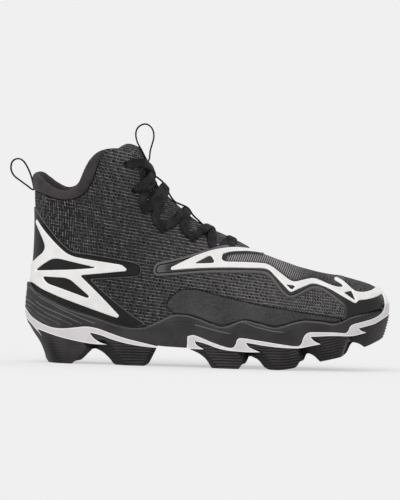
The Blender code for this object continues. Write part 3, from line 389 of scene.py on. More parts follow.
def smooth(table: Sequence[Sequence[float]], at: Any) -> Array:
    """Reads a monotone cubic through the rows of a table.

    Args:
        table: rows of (x, value), with x rising.
        at: places to read.

    Returns:
        The values at those places.
    """
    xs, ys = np.array(table, float).T
    at = np.clip(np.asarray(at, float), xs[0], xs[-1])
    step = np.diff(xs)
    slope = np.diff(ys) / step
    tangent = np.concatenate([slope[:1], np.zeros(len(xs) - 2), slope[-1:]])
    rising = slope[:-1] * slope[1:] > 0
    total = np.where(rising, slope[:-1] + slope[1:], 1)
    tangent[1:-1] = np.where(rising, 2 * slope[:-1] * slope[1:] / total, 0)
    low = np.clip(np.searchsorted(xs, at, side="right") - 1, 0, len(step) - 1)
    s = (at - xs[low]) / step[low]
    start = (1 + 2 * s) * (1 - s) ** 2 * ys[low] + s * (1 - s) ** 2 * step[low] * tangent[low]
    end = s * s * (3 - 2 * s) * ys[low + 1] + s * s * (s - 1) * step[low] * tangent[low + 1]
    return start + end


def ease(value: Any, low: float, high: float) -> Array:
    """A soft step from 0 at low to 1 at high."""
    share = np.clip((np.asarray(value, float) - low) / (high - low), 0, 1)
    return share * share * (3 - 2 * share)


def ring_spline(values: Iterable[float]) -> Callable[[Array], Array]:
    """Closed cubic spline through equally spaced values.

    Args:
        values: one value per whole place on the ring.

    Returns:
        A function of place on the ring.
    """
    values = np.array(list(values), float)
    count = len(values)
    ring = np.arange(count)
    matrix = 4 * np.eye(count)
    matrix[ring, (ring + 1) % count] = 1
    matrix[ring, (ring - 1) % count] = 1
    bend = np.linalg.solve(matrix, 6 * (np.roll(values, -1) - 2 * values + np.roll(values, 1)))

    def at(place: Array) -> Array:
        """The spline's value at a place.

        Args:
            place: places on the ring.

        Returns:
            The values there.
        """
        place = np.asarray(place, float) % count
        low = np.floor(place).astype(int) % count
        high = (low + 1) % count
        s = place - np.floor(place)
        a = 1 - s
        return a * values[low] + s * values[high] + ((a**3 - a) * bend[low] + (s**3 - s) * bend[high]) / 6

    return at


def unit(vectors: Array) -> Array:
    """Vectors brought to length 1."""
    return vectors / np.maximum(np.linalg.norm(vectors, axis=-1, keepdims=True), 1e-9)

def heading(line: Array, closed: bool) -> Array:
    """Unit direction of a line at each of its points.

    Args:
        line: points along it.
        closed: whether the last point joins the first.

    Returns:
        A direction for each point.
    """
    if closed:
        return unit(np.roll(line, -1, axis=0) - np.roll(line, 1, axis=0))
    return unit(np.gradient(line, axis=0))


def run_along(line: Array) -> Array:
    """How far along a line each of its points is."""
    return np.concatenate([[0], np.cumsum(np.linalg.norm(np.diff(line, axis=0), axis=1))])


def flowing(points: Any, step: float, closed: bool = False) -> Array:
    """A smooth line through points, read at even spacing.

    Args:
        points: rows of numbers; the first three, or two for a flat line, are the place.
        step: spacing along the line.
        closed: whether the line comes back to its start.

    Returns:
        Rows like those of points.
    """
    points = np.asarray(points, float)
    if closed:
        ahead, behind = points[[0, 1]], points[[-1]]
    else:
        ahead, behind = points[[-1]] * 2 - points[[-2]], points[[0]] * 2 - points[[1]]
    padded = np.concatenate([behind, points, ahead])
    share = np.linspace(0, 1, FLOW_SAMPLES, endpoint=False)[:, None]
    pieces = []
    for before, first, second, after in zip(padded, padded[1:], padded[2:], padded[3:]):
        out, back = (second - before) / 2, (after - first) / 2
        bend = 3 * (second - first) - 2 * out - back
        pieces.append(first + share * out + share**2 * bend + share**3 * (out + back - 2 * (second - first)))
    line = np.concatenate([*pieces, points[:1] if closed else points[-1:]])
    run = run_along(line[:, :3])
    stops = np.linspace(0, run[-1], max(int(run[-1] / step), FLOW_LEAST) + 1)
    if closed:
        stops = stops[:-1]
    return np.stack([np.interp(stops, run, axis) for axis in line.T], axis=1)


def rounded(outline: Outline, corner: float = CORNER) -> Array:
    """An outline with gentle bends drawn as curves and sharp corners rounded a little.

    Args:
        outline: corner points (x, z).
        corner: longest stretch of an edge that a sharp corner takes up.

    Returns:
        The denser outline.
    """
    points = np.array(outline, float)
    share = np.linspace(0, 1, CORNER_SAMPLES)[:, None]
    pieces = []
    for before, here, after in zip(np.roll(points, 1, axis=0), points, np.roll(points, -1, axis=0)):
        back, ahead = before - here, after - here
        lengths = np.linalg.norm(back), np.linalg.norm(ahead)
        turn = math.pi - math.acos(np.clip(back @ ahead / (lengths[0] * lengths[1]), -1, 1))
        reach = BEND_REACH * min(lengths)
        if turn > SHARP_TURN:
            reach = min(reach, corner)
        start, end = here + back * reach / lengths[0], here + ahead * reach / lengths[1]
        pieces.append((1 - share) ** 2 * start + 2 * share * (1 - share) * here + share**2 * end)
    return np.concatenate(pieces)


def outset(outline: Outline, distance: float) -> Array:
    """The outline with every edge moved out by distance, or in where it is negative.

    Args:
        outline: corners (x, z).
        distance: how far.

    Returns:
        The moved corners.
    """
    points = np.array(outline, float)
    ahead = unit(np.roll(points, -1, axis=0) - points)
    area = np.sum(points[:, 0] * np.roll(points[:, 1], -1) - np.roll(points[:, 0], -1) * points[:, 1])
    normal = np.stack([ahead[:, 1], -ahead[:, 0]], axis=1) * math.copysign(1, area)
    before = np.roll(normal, 1, axis=0)
    spread = 1 + np.sum(normal * before, axis=1, keepdims=True)
    return points + (normal + before) * distance / np.maximum(spread, LEAST_SPREAD)


def edge_distance(points: Array, outline: Array, margin: float = 12.0) -> Array:
    """Distance of points from an outline.

    Args:
        points: rows of (x, z).
        outline: corner points (x, z).
        margin: how far round the outline distances are worked out; points further off get this value.

    Returns:
        Distances, negative inside the outline.
    """
    low, high = outline.min(axis=0) - margin, outline.max(axis=0) + margin
    near = np.flatnonzero(((points > low) & (points < high)).all(axis=1))
    at = points[near]
    best = np.full(len(at), margin**2)
    inside = np.zeros(len(at), bool)
    for first, second in zip(outline, np.roll(outline, -1, axis=0)):
        edge = second - first
        offset = at - first
        share = np.clip(offset @ edge / max(edge @ edge, TINY), 0, 1)
        best = np.minimum(best, ((offset - share[:, None] * edge) ** 2).sum(axis=1))
        if edge[1]:
            spans = (first[1] <= at[:, 1]) != (second[1] <= at[:, 1])
            inside ^= spans & (offset[:, 0] < offset[:, 1] * edge[0] / edge[1])
    found = np.full(len(points), margin)
    found[near] = np.where(inside, -1, 1) * np.sqrt(best)
    return found


def beside(points: Array, first: Array, second: Array) -> tuple[Array, Array]:
    """Share along an edge of the spot nearest to each point, and the point's distance from it.

    Args:
        points: rows of (x, z).
        first: start of the edge.
        second: end of the edge.

    Returns:
        Shares and distances.
    """
    edge = second - first
    share = np.clip((points - first) @ edge / (edge @ edge), 0, 1)
    return share, np.linalg.norm(points - first - share[..., None] * edge, axis=-1)


def line_distance(points: Array, line: Outline) -> Array:
    """Distance of points (x, z) from an open line."""
    corners = np.array(line, float)
    return np.min([beside(points, *ends)[1] for ends in zip(corners, corners[1:])], axis=0)


def above_rim(places_x: Iterable[float], clearance: float) -> list[tuple[float, float]]:
    """Points just above the midsole rim, as (x, z)."""
    return [(x, float(smooth(RIM, x)) + clearance) for x in places_x]


# Between these x, a rib's run along the shoe stops following its rise and comes to follow its inward turn.
TIP = (230, 290)
# Brings a swell's highest spot to the value in the station table.
SWELL = 27 / 4
RIB_SAMPLES = 21
# Stations and heights at which a spot seen from the side is first looked for.
LOOK_STATIONS = np.linspace(0.1, TOE - 0.6, 180)
LOOK_HEIGHTS = np.linspace(0, 1, 50)


class Last:
    """The rounded form that all layers of the upper lie on, read at a place round the shoe and a height."""

    def __init__(self) -> None:
        """Fits closed splines to the station table."""
        rows = dict(zip(STATION_COLUMNS, np.array(STATIONS, float).T))
        plain = ("foot_x", "top_x", "arc", "belly", "waist", "spine")
        self.shape = {name: self._around(rows[name], rows[name]) for name in plain}
        self.shape["foot_y"] = self._around(rows["foot_medial"], -rows["foot_lateral"])
        self.shape["top_z"] = self._around(rows["top_z"] + rows["medial_rise"], rows["top_z"])
        spine, half = rows["spine"], rows["top_half"]
        self.shape["top_y"] = self._around(spine + half, spine - half)

    @staticmethod
    def _around(medial: Array, lateral: Array) -> Callable[[Array], Array]:
        """A station column taken round the shoe: heel, medial side, toe, lateral side."""
        return ring_spline([*medial, *lateral[-2:0:-1]])

    def outward(self, place: Any) -> Array:
        """Unit normal of the feather line in plan, pointing out of the shoe.

        Args:
            place: places round the shoe.

        Returns:
            Unit rows (x, y, z).
        """
        step = 0.02
        place = np.asarray(place, float)
        run = self.shape["foot_x"](place + step) - self.shape["foot_x"](place - step)
        side = self.shape["foot_y"](place + step) - self.shape["foot_y"](place - step)
        return unit(np.stack([-side, run, np.zeros_like(run)], axis=-1))

    def surface(self, place: Any, height: Any) -> Array:
        """Outer face of the upper.

        Args:
            place: -TOE lateral toe, 0 heel, TOE medial toe.
            height: 0 at the feather line, 1 at collar, throat edge or spine.

        Returns:
            Points (x, y, z).
        """
        place, height = np.broadcast_arrays(np.asarray(place, float), np.asarray(height, float))
        station = np.abs((place + TOE) % (2 * TOE) - TOE)
        foot_x = self.shape["foot_x"](place)
        foot_y = self.shape["foot_y"](place)
        foot_z = smooth(FEATHER, foot_x)
        top_y = np.where(station >= THROAT_END, self.shape["spine"](place), self.shape["top_y"](place))
        arc = np.radians(self.shape["arc"](place))
        angle = arc * height
        inward = (1 - np.cos(angle)) / (1 - np.cos(arc))
        upward = np.sin(angle) / np.sin(arc)
        along = upward + (inward - upward) * ease(foot_x, *TIP)
        x = foot_x + (self.shape["top_x"](place) - foot_x) * along
        y = foot_y + (top_y - foot_y) * inward
        z = foot_z + (self.shape["top_z"](place) - foot_z) * upward
        low_swell = SWELL * height * (1 - height) ** 2
        high_swell = SWELL * height**2 * (1 - height)
        swell = self.shape["belly"](place) * low_swell + self.shape["waist"](place) * high_swell
        return np.stack([x, y, z], axis=-1) + self.outward(place) * swell[..., None]

    def facing(self, place: Any, height: Any) -> Array:
        """Unit normal of the upper's outer face.

        Args:
            place: places round the shoe.
            height: heights on the rib.

        Returns:
            Unit rows (x, y, z).
        """
        place, height = np.broadcast_arrays(np.asarray(place, float), np.asarray(height, float))
        aside, up, highest = 0.03, 0.01, 0.97
        level = np.minimum(height, highest)
        around = self.surface(place + aside, level) - self.surface(place - aside, level)
        above = self.surface(place, np.minimum(height + up, 1))
        below = self.surface(place, np.maximum(height - up, 0))
        return unit(np.cross(above - below, around))

    def raised(self, place: Any, height: Any, lift: Any) -> Array:
        """A point of the outer face moved outwards by lift."""
        return self.surface(place, height) + self.facing(place, height) * np.asarray(lift, float)[..., None]

    def rib_length(self, place: Any) -> Array:
        """Length of a rib from the feather line to the top line."""
        points = self.surface(np.asarray(place, float)[..., None], np.linspace(0, 1, RIB_SAMPLES))
        return np.linalg.norm(np.diff(points, axis=-2), axis=-1).sum(axis=-1)

    def cuff_start(self, place: Any) -> Array:
        """Height on the rib where the cuff band begins, just under the top where there is no cuff.

        Args:
            place: places round the shoe.

        Returns:
            A height for each place.
        """
        lowest, highest, samples = 0.6, 0.995, 161
        station = np.abs(np.asarray(place, float))
        heights = np.linspace(lowest, 1, samples)
        ribs = self.surface(-station[:, None], heights)[..., SEEN]
        away = edge_distance(ribs.reshape(-1, 2), rounded(ABOVE_CUFF)).reshape(ribs.shape[:2])
        first = np.maximum(np.argmax(away < 0, axis=1), 1)
        rib = np.arange(len(station))
        before, after = away[rib, first - 1], away[rib, first]
        found = heights[first - 1] + (heights[1] - heights[0]) * before / np.maximum(before - after, TINY)
        covered = (away < 0).any(axis=1) & (station <= CUFF_END)
        return np.where(covered, np.minimum(found, highest), highest)

    def rim_height(self, place: Array) -> Array:
        """Height on the rib where the midsole rim ends.

        Args:
            place: places round the shoe.

        Returns:
            A height for each place.
        """
        highest, halvings = 0.5, 30
        low, high = np.zeros_like(place), np.full_like(place, highest)
        for _ in range(halvings):
            middle = (low + high) / 2
            point = self.surface(place, middle)
            below = point[..., 2] < smooth(RIM, point[..., 0])
            low, high = np.where(below, middle, low), np.where(below, high, middle)
        return (low + high) / 2

    def beside_throat(self, station: float, side: Side, distance: float) -> tuple[float, float]:
        """Place and height on the upper at a distance from the throat edge, square to that edge.

        Args:
            station: where along the throat.
            side: side of the shoe.
            distance: how far from the edge.

        Returns:
            Place and height.
        """
        reach, aside, down, rounds = 0.05, 0.01, 0.005, 8
        place, height = side.value * station, 1.0
        ahead, behind = (self.surface(side.value * (station + step), 1) for step in (reach, -reach))
        away = unit(np.cross(self.facing(place, height), ahead - behind))
        target = self.surface(place, height) + away * math.copysign(distance, -away[2])
        for _ in range(rounds):
            here = self.surface(place, height)
            by_place = (self.surface(place + aside, height) - here) / aside
            by_height = (here - self.surface(place, height - down)) / down
            step = np.linalg.lstsq(np.stack([by_place, by_height], axis=1), target - here, rcond=None)[0]
            place, height = place + step[0], min(height + step[1], 1.0)
        return float(place), float(height)

    def locate(self, flat: Any, side: Side) -> tuple[Array, Array]:
        """Places and heights on one side of the upper that are seen from the side at (x, z).

        Args:
            flat: rows of (x, z).
            side: which side of the shoe.

        Returns:
            Places and heights; a point past the top line gets height 1.
        """
        step, rounds, least_area, most_move, most_rise = 0.01, 6, 1.0, 0.3, 0.1
        flat = np.atleast_2d(np.asarray(flat, float))
        stations, levels = np.meshgrid(LOOK_STATIONS, LOOK_HEIGHTS, indexing="ij")
        seen = self.surface(side.value * stations, levels)[..., SEEN].reshape(-1, 2)
        nearest = np.array([np.argmin(((seen - point) ** 2).sum(axis=1)) for point in flat])
        place, height = side.value * stations.ravel()[nearest], levels.ravel()[nearest]
        for _ in range(rounds):
            low = np.minimum(height, 1 - step)
            here = self.surface(place, low)[..., SEEN]
            by_place = (self.surface(place + step, low)[..., SEEN] - here) / step
            by_height = (self.surface(place, low + step)[..., SEEN] - here) / step
            miss = flat - here
            area = by_place[:, 0] * by_height[:, 1] - by_place[:, 1] * by_height[:, 0]
            area = np.where(np.abs(area) < least_area, math.inf, area)
            move = (miss[:, 0] * by_height[:, 1] - miss[:, 1] * by_height[:, 0]) / area
            rise = (by_place[:, 0] * miss[:, 1] - by_place[:, 1] * miss[:, 0]) / area
            place = place + np.clip(move, -most_move, most_move)
            height = np.clip(low + np.clip(rise, -most_rise, most_rise), 0, 1)
        return place, height

    def crest(self, station: float) -> Array:
        """Top of the tongue between the throat edges.

        Args:
            station: where along the tongue.

        Returns:
            The point (x, y, z).
        """
        rows = np.array(TONGUE_CREST)
        x, z = smooth(rows[:, (0, 1)], station), smooth(rows[:, (0, 2)], station)
        return np.array([float(x), float(self.shape["spine"](station)), float(z)])

    def columns(self, spacing: float) -> Array:
        """Places round the shoe, from the toe, at most spacing apart and the same on both sides.

        Args:
            spacing: the largest step.

        Returns:
            The places.
        """
        levels, fewest = np.array([0, 0.5, 1]), 2
        half = []
        for station in range(TOE):
            ends = self.surface(np.array([[station], [station + 1]]), levels)
            longest = np.linalg.norm(ends[1] - ends[0], axis=-1).max()
            count = max(math.ceil(longest / spacing), fewest)
            half.append(np.linspace(station, station + 1, count, endpoint=False))
        half = np.concatenate([*half, [TOE]])
        return np.concatenate([-half[:0:-1], half[:-1]])


LAST = Last()


class Value:
    """A number socket that takes part in Python expressions."""

    def __init__(self, paint: "Paint", socket: bpy.types.NodeSocket) -> None:
        """Holds the socket and the material it belongs to."""
        self.paint = paint
        self.socket = socket

    def __add__(self, other: "Number") -> "Value":
        """Sum."""
        return self.paint.math("ADD", self, other)

    def __sub__(self, other: "Number") -> "Value":
        """Difference."""
        return self.paint.math("SUBTRACT", self, other)

    def __rsub__(self, other: "Number") -> "Value":
        """Difference from a number."""
        return self.paint.math("SUBTRACT", other, self)

    def __mul__(self, other: "Number") -> "Value":
        """Product."""
        return self.paint.math("MULTIPLY", self, other)

    def __truediv__(self, other: "Number") -> "Value":
        """Quotient."""
        return self.paint.math("DIVIDE", self, other)

    def __rtruediv__(self, other: "Number") -> "Value":
        """Number over this value."""
        return self.paint.math("DIVIDE", other, self)

    __radd__ = __add__
    __rmul__ = __mul__

    def floor(self) -> "Value":
        """Whole part."""
        return self.paint.math("FLOOR", self)

    def fract(self) -> "Value":
        """Part after the point."""
        return self.paint.math("FRACT", self)

    def size(self) -> "Value":
        """Value without its sign."""
        return self.paint.math("ABSOLUTE", self)

    def off_middle(self) -> "Value":
        """Distance from the middle of its whole step, at most a half."""
        return (self.fract() - 0.5).size()

    def wave(self, pitch: float) -> "Value":
        """A cosine from 0 to 1 that repeats every pitch."""
        return self.paint.math("COSINE", self * (2 * math.pi / pitch)) * 0.5 + 0.5

    def step(self, low: float, high: float) -> "Value":
        """A soft step from 0 at low to 1 at high; low may be the larger.

        Args:
            low: where it is 0.
            high: where it is 1.

        Returns:
            The step's value.
        """
        sockets = {"Value": self, "From Min": low, "From Max": high}
        node = self.paint.node("ShaderNodeMapRange", {"interpolation_type": "SMOOTHSTEP"}, sockets)
        return Value(self.paint, node.outputs["Result"])


Number = Union[float, Value]
Colour = Union[Tone, bpy.types.NodeSocket]
# Numbers of the sockets of a Mix node that mixes colours.
MIX_FACTOR, MIX_FIRST, MIX_SECOND, MIX_RESULT = 0, 6, 7, 2
# How far a twill's lines lean along the shoe and across it.
TWILL_LEAN = (0.7, 0.4)


@dataclass(frozen=True)
class Surface:
    """How a finish takes the light; relief is in millimetres."""

    roughness: float
    shine: float
    relief: float
    uneven: float = 0.0
    sheen: float = 0.0


class Paint:
    """One material as it is mixed: makes its nodes and joins their sockets."""

    def __init__(self, name: str) -> None:
        """Starts a material with its shader.

        Args:
            name: the material's name.
        """
        self.material = bpy.data.materials.new(name)
        self.material.use_nodes = True
        self.tree = self.material.node_tree
        self.shader = self.tree.nodes["Principled BSDF"]

    def node(
        self, kind: str, settings: dict[str, Any], sockets: dict[Union[str, int], Any]
    ) -> bpy.types.Node:
        """Adds a node.

        Args:
            kind: the node's type.
            settings: properties, set before the sockets.
            sockets: values or links, by socket name or number.

        Returns:
            The node.
        """
        made = self.tree.nodes.new(kind)
        for name, value in settings.items():
            setattr(made, name, value)
        for name, value in sockets.items():
            self.feed(made.inputs[name], value)
        return made

    def feed(self, socket: bpy.types.NodeSocket, value: Any) -> None:
        """Sets a socket to a number or colour, or links it.

        Args:
            socket: the socket to set.
            value: a number, a colour or what to link.
        """
        if isinstance(value, Value):
            value = value.socket
        if isinstance(value, bpy.types.NodeSocket):
            self.tree.links.new(value, socket)
        elif isinstance(value, tuple) and len(value) == 3 and socket.type == "RGBA":
            socket.default_value = (*value, 1)
        else:
            socket.default_value = value

    def math(self, operation: str, *values: Number) -> Value:
        """A Math node on numbers or values."""
        node = self.node("ShaderNodeMath", {"operation": operation}, dict(enumerate(values)))
        return Value(self, node.outputs[0])

    def mix(self, share: Number, first: Colour, second: Colour) -> bpy.types.NodeSocket:
        """A colour between two others."""
        sockets = {MIX_FACTOR: share, MIX_FIRST: first, MIX_SECOND: second}
        return self.node("ShaderNodeMix", {"data_type": "RGBA"}, sockets).outputs[MIX_RESULT]

    def _axes(self, vector: bpy.types.NodeSocket) -> tuple[Value, Value, Value]:
        """The three numbers of a vector."""
        parts = self.node("ShaderNodeSeparateXYZ", {}, {"Vector": vector})
        return tuple(Value(self, parts.outputs[axis]) for axis in "XYZ")

    def _spot(self, kind: str) -> bpy.types.NodeSocket:
        """A coordinate of the spot that is shaded."""
        return self.node("ShaderNodeTexCoord", {}, {}).outputs[kind]

    def lay(self) -> tuple[Value, Value, Value]:
        """Millimetres along the piece, across it, and in from its rim."""
        return self._axes(self.node("ShaderNodeAttribute", {"attribute_name": LAY}, {}).outputs["Vector"])

    def place(self) -> tuple[Value, Value, Value]:
        """Place in the row frame, in millimetres."""
        return tuple(axis / MM for axis in self._axes(self._spot("Object")))

    def broadside(self) -> Value:
        """How squarely the surface faces the side of the shoe, from 0 to 1."""
        return self._axes(self._spot("Normal"))[1].size()

    def grain(self, size: float, detail: float = 2.0) -> Value:
        """Noise from 0 to 1 with spots of about that size in millimetres."""
        sockets = {"Vector": self._spot("Object"), "Scale": 1 / (size * MM), "Detail": detail}
        return Value(self, self.node("ShaderNodeTexNoise", {}, sockets).outputs[0])

    def twill(self, pitch: float) -> Value:
        """Slanting lines, from 0 to 1, that repeat every pitch."""
        x, y, z = self.place()
        return (z + x * TWILL_LEAN[0] + y * TWILL_LEAN[1]).wave(pitch)

    def cells(self, first: Value, second: Value) -> Value:
        """A number from 0 to 1 that is the same within each whole step of two values.

        Args:
            first: value along one way.
            second: value along the other.

        Returns:
            The number.
        """
        spot = self.node("ShaderNodeCombineXYZ", {}, {"X": first.floor(), "Y": second.floor()})
        sockets = {"Vector": spot.outputs["Vector"]}
        noise = self.node("ShaderNodeTexWhiteNoise", {"noise_dimensions": "2D"}, sockets)
        return Value(self, noise.outputs["Value"])

    def finish(self, colour: Colour, heights: Value, surface: Surface, **fixed: Any) -> bpy.types.Material:
        """Joins colour, relief and surface to the shader.

        Args:
            colour: base colour.
            heights: relief from 0 to 1, which also makes the roughness uneven.
            surface: how the finish takes the light.
            **fixed: other shader sockets, by name with _ for spaces.

        Returns:
            The finished material.
        """
        sockets = {"Strength": 1.0, "Distance": surface.relief * MM, "Height": heights}
        fixed["Normal"] = self.node("ShaderNodeBump", {}, sockets).outputs["Normal"]
        fixed["Base_Color"] = colour
        fixed["Roughness"] = surface.roughness
        if surface.uneven:
            fixed["Roughness"] = heights * surface.uneven + surface.roughness
        fixed["Specular_IOR_Level"] = surface.shine
        fixed["Sheen_Weight"] = surface.sheen
        for name, value in fixed.items():
            self.feed(self.shader.inputs[name.replace("_", " ")], value)
        return self.material


@dataclass(frozen=True)
class OpenWeave:
    """Open woven mesh: uneven wavy threads with rows of stepped slots, shorter to the toe, brightened towards
    the toe by painted light and higher on the quarter by painted highlights.
    """

    name: str = "open_weave"
    gap: Tone = tone(7, 7, 7)
    dim: Tone = tone(66, 64, 65)
    thread: Tone = tone(118, 115, 116)
    glint: Tone = tone(168, 165, 166)
    row: float = 2.54
    slot: float = 2.67
    stitch: float = 2.2
    stagger: float = 1 / 3
    slope_low: float = 0.069
    slope_rise: float = 0.00075
    swing: float = 7.0
    ripple: float = 2.4
    wear: float = 1.5
    other_cell: float = 7.3
    toe: Span = (45.0, 85.0)
    heel: Span = (-62.0, -112.0)
    # Painted light: between these x the threads go from their heel tone to their toe tone.
    lit: Span = (-112.0, 100.0)
    # Painted highlights higher up the quarter and near its top edge: span of x, span of z and strength of
    # each.
    lit_spots: tuple[tuple[Span, Span, float], ...] = (
        ((-120.0, -70.0), (100.0, 170.0), 0.22),
        ((-86.0, -56.0), (152.0, 176.0), 0.8),
    )
    surface: Surface = Surface(0.75, 0.2, 0.5)

    def material(self) -> bpy.types.Material:
        """Builds the material.

        Returns:
            The material.
        """
        p = Paint(self.name)
        run, _, _ = p.lay()
        x, _, z = p.place()
        rise = (z + x * (self.slope_low + z * self.slope_rise)) / self.row
        rise = rise + p.grain(self.swing) * 0.25 + p.grain(self.ripple, 1.0) * 0.45
        course = run / self.slot + rise.floor() * self.stagger + p.cells(rise, rise) * 0.2
        toe = x.step(*self.toe)
        heel = x.step(*self.heel)
        across = rise.off_middle()
        long = course.off_middle().step(0.26, 0.5) * p.cells(course + 0.5, rise).step(0.3, 0.75)
        short = (run / self.stitch + rise.floor() * toe * 0.4).off_middle()
        ends = toe * 0.9 + heel * 0.85
        along = (1 - long) * (1 - ends) + short.step(0.45, 0.2) * ends
        worn = p.grain(self.wear, 1.0).step(0.42, 0.62) * toe * 0.55
        gaps = across.step(0.5, 0.24) * (1 - heel * 0.5) + heel * 0.5
        hole = gaps * along * (p.cells(course, rise) * 0.35 + 0.65) * (1 - worn) + worn
        glint = across.step(0.25, 0.5) * p.cells(course + self.other_cell, rise).step(0.6, 1.0) * 0.6
        glint = glint + heel * (1 - along) * p.cells(run / self.stitch + 0.5, rise).step(0.3, 1.0) * 0.5
        # Painted light and painted highlights brighten the threads' tone.
        light = x.step(*self.lit)
        for reach, height, share in self.lit_spots:
            light = light + z.step(*height) * x.step(*reach) * share
        tint = p.mix(heel * 0.3, p.mix(light, self.dim, self.thread), self.gap)
        colour = p.mix(hole, p.mix(glint, tint, self.glint), self.gap)
        return p.finish(colour, 1 - hole, self.surface)


@dataclass(frozen=True)
class RibKnit:
    """Ribbed knit of the vamp: raised ribs across it that break up into small stitches towards the toe, with
    painted shade near the rim of its window.
    """

    name: str = "rib_knit"
    gap: Tone = tone(16, 15, 16)
    yarn: Tone = tone(182, 177, 180)
    rib: float = 1.8
    stitch: float = 1.6
    lean: float = -0.4
    nub: float = 1.3
    cloud: float = 14.0
    # Depths in from the rim over which the painted shade along the window's edge fades out.
    edge: Span = (0.6, 2.6)
    toe: Span = (62.0, 96.0)
    surface: Surface = Surface(0.8, 0.2, 0.3)

    def material(self) -> bpy.types.Material:
        """Builds the material.

        Returns:
            The material.
        """
        p = Paint(self.name)
        _, climb, depth = p.lay()
        x, _, z = p.place()
        ribs = (x + z * self.lean).wave(self.rib).step(0.1, 0.9)
        broken = x.step(*self.toe)
        stitches = (climb + x * 0.5).wave(self.stitch) * 0.12 + 0.88
        yarn = ribs * stitches * (1 - broken) + p.grain(self.nub).step(0.3, 0.7) * broken * 0.26
        shade = p.grain(self.cloud).step(0.2, 0.85) * 0.3 + 0.7
        # Painted shade darkens the knit near its rim, where the raised window edge would shade it.
        colour = p.mix(yarn * shade * (depth.step(*self.edge) * 0.65 + 0.35), self.gap, self.yarn)
        return p.finish(colour, yarn, self.surface)


@dataclass(frozen=True)
class SatinFilm:
    """Smooth moulded film with a pressed border and, where it has one, a stitched groove inside it. A pale
    border tone is a painted highlight along the rim; the groove's dark tone is partly its seam and partly
    painted shade; a ridge further in gets a painted highlight.
    """

    name: str
    body: Tone
    light: Tone
    # Tone of the border band: on pale-bordered films, a painted highlight along the rim.
    border: Tone
    border_width: float = 0.8
    # Tone of the groove: partly the dark stitched seam, partly painted shade in the recess.
    groove: Tone | None = None
    rand: Tone | None = None
    border_edge: Span = (0.3, -0.1)
    groove_at: float = 0.5
    groove_edge: Span = (0.65, 0.25)
    # Where a painted highlight of a ridge lies beyond the border, and how it fades.
    ridge_highlight_at: float = 1.5
    ridge_highlight_edge: Span = (0.7, 0.3)
    rand_from: Span = (117.0, 124.0)
    tail_from: Span = (-24.0, -30.0)
    cloud: float = 26.0
    speck: float = 1.6
    grain: float = 0.7
    surface: Surface = Surface(0.42, 0.35, 0.05, 0.12)

    def material(self) -> bpy.types.Material:
        """Builds the material.

        Returns:
            The material.
        """
        p = Paint(self.name)
        _, _, depth = p.lay()
        x, _, _ = p.place()
        fine = p.grain(self.grain, 1.0)
        speck = p.grain(self.speck, 1.0).step(0.3, 0.7)
        cloud = p.grain(self.cloud, 3.0).step(0.3, 0.75)
        colour = p.mix(cloud * 0.55 + speck * 0.45, self.body, self.light)
        beyond = depth - self.border_width
        if self.groove:
            # The groove is darkened, partly as its seam and partly by painted shade.
            sunk = (beyond - self.groove_at).size().step(*self.groove_edge)
            # Painted highlight of a ridge, mixed with a lighter tail towards the border tone.
            ridge = (beyond - self.ridge_highlight_at).size().step(*self.ridge_highlight_edge) * 0.3
            colour = p.mix(x.step(*self.tail_from) * 0.8 + ridge, colour, self.border)
            colour = p.mix(sunk, colour, self.groove)
        # The border band in the border tone: a painted highlight where that tone is pale.
        colour = p.mix(beyond.step(*self.border_edge), colour, self.border)
        if self.rand:
            colour = p.mix(x.step(*self.rand_from), colour, self.rand)
        return p.finish(colour, fine, self.surface)


@dataclass(frozen=True)
class MouldedWhite:
    """Pale satin moulding, greyer in blotches, with a painted highlight along its rims."""

    name: str
    body: Tone
    shade: Tone
    # Tone of the painted highlight along the rims.
    rim: Tone
    blotch: float = 11.0
    grain: float = 0.9
    # Depths in from the rim over which the painted highlight fades.
    edge: Span = (1.1, 0.5)
    surface: Surface = Surface(0.45, 0.35, 0.05, 0.12)

    def material(self) -> bpy.types.Material:
        """Builds the material.

        Returns:
            The material.
        """
        p = Paint(self.name)
        _, _, depth = p.lay()
        blotch = p.grain(self.blotch, 3.0).step(0.35, 0.8) * 0.5
        fine = p.grain(self.grain, 1.0)
        colour = p.mix(blotch + fine * 0.3, self.body, self.shade)
        # Painted highlight along the rims.
        colour = p.mix(depth.step(*self.edge), colour, self.rim)
        return p.finish(colour, fine, self.surface)


@dataclass(frozen=True)
class Moulded:
    """Dark matt foam or rubber, scuffed in patches, with lines of painted highlight on the foam's ribs and
    rim, painted shade along the studs' facet edges, and painted shade on facets that look away from the side.
    """

    name: str
    body: Tone
    light: Tone
    # Tone of the painted highlight along the rim.
    rim: Tone
    # Tone of the painted shade on faces that look away from the side.
    facet: Tone | None = None
    # Tone of the lines along the ribs, painted shade on the studs; when none, the rim's painted highlight
    # tone.
    line: Tone | None = None
    line_edge: Span = (0.62, 0.2)
    rim_highlight_edge: Span = (1.1, 0.3)
    facet_shade_turn: Span = (0.9, 0.72)
    facet_end: Span = (126.0, 116.0)
    cloud: float = 18.0
    grain: float = 0.8
    surface: Surface = Surface(0.5, 0.3, 0.06, 0.15)

    def material(self) -> bpy.types.Material:
        """Builds the material.

        Returns:
            The material.
        """
        p = Paint(self.name)
        _, rib, depth = p.lay()
        fine = p.grain(self.grain)
        colour = p.mix(p.grain(self.cloud, 4.0).step(0.3, 0.75), self.body, self.light)
        # Lines along the ribs: painted highlights on the foam, painted shade on the studs' facet edges.
        colour = p.mix(rib.step(*self.line_edge) * 0.85, colour, self.line or self.rim)
        # Painted highlight along the rim.
        colour = p.mix(depth.step(*self.rim_highlight_edge) * 0.6, colour, self.rim)
        if self.facet:
            x, _, _ = p.place()
            # Painted shade on faces that look away from the side of the shoe.
            facet_shade_share = p.broadside().step(*self.facet_shade_turn) * x.size().step(*self.facet_end)
            colour = p.mix(facet_shade_share, colour, self.facet)
        return p.finish(colour, fine, self.surface)


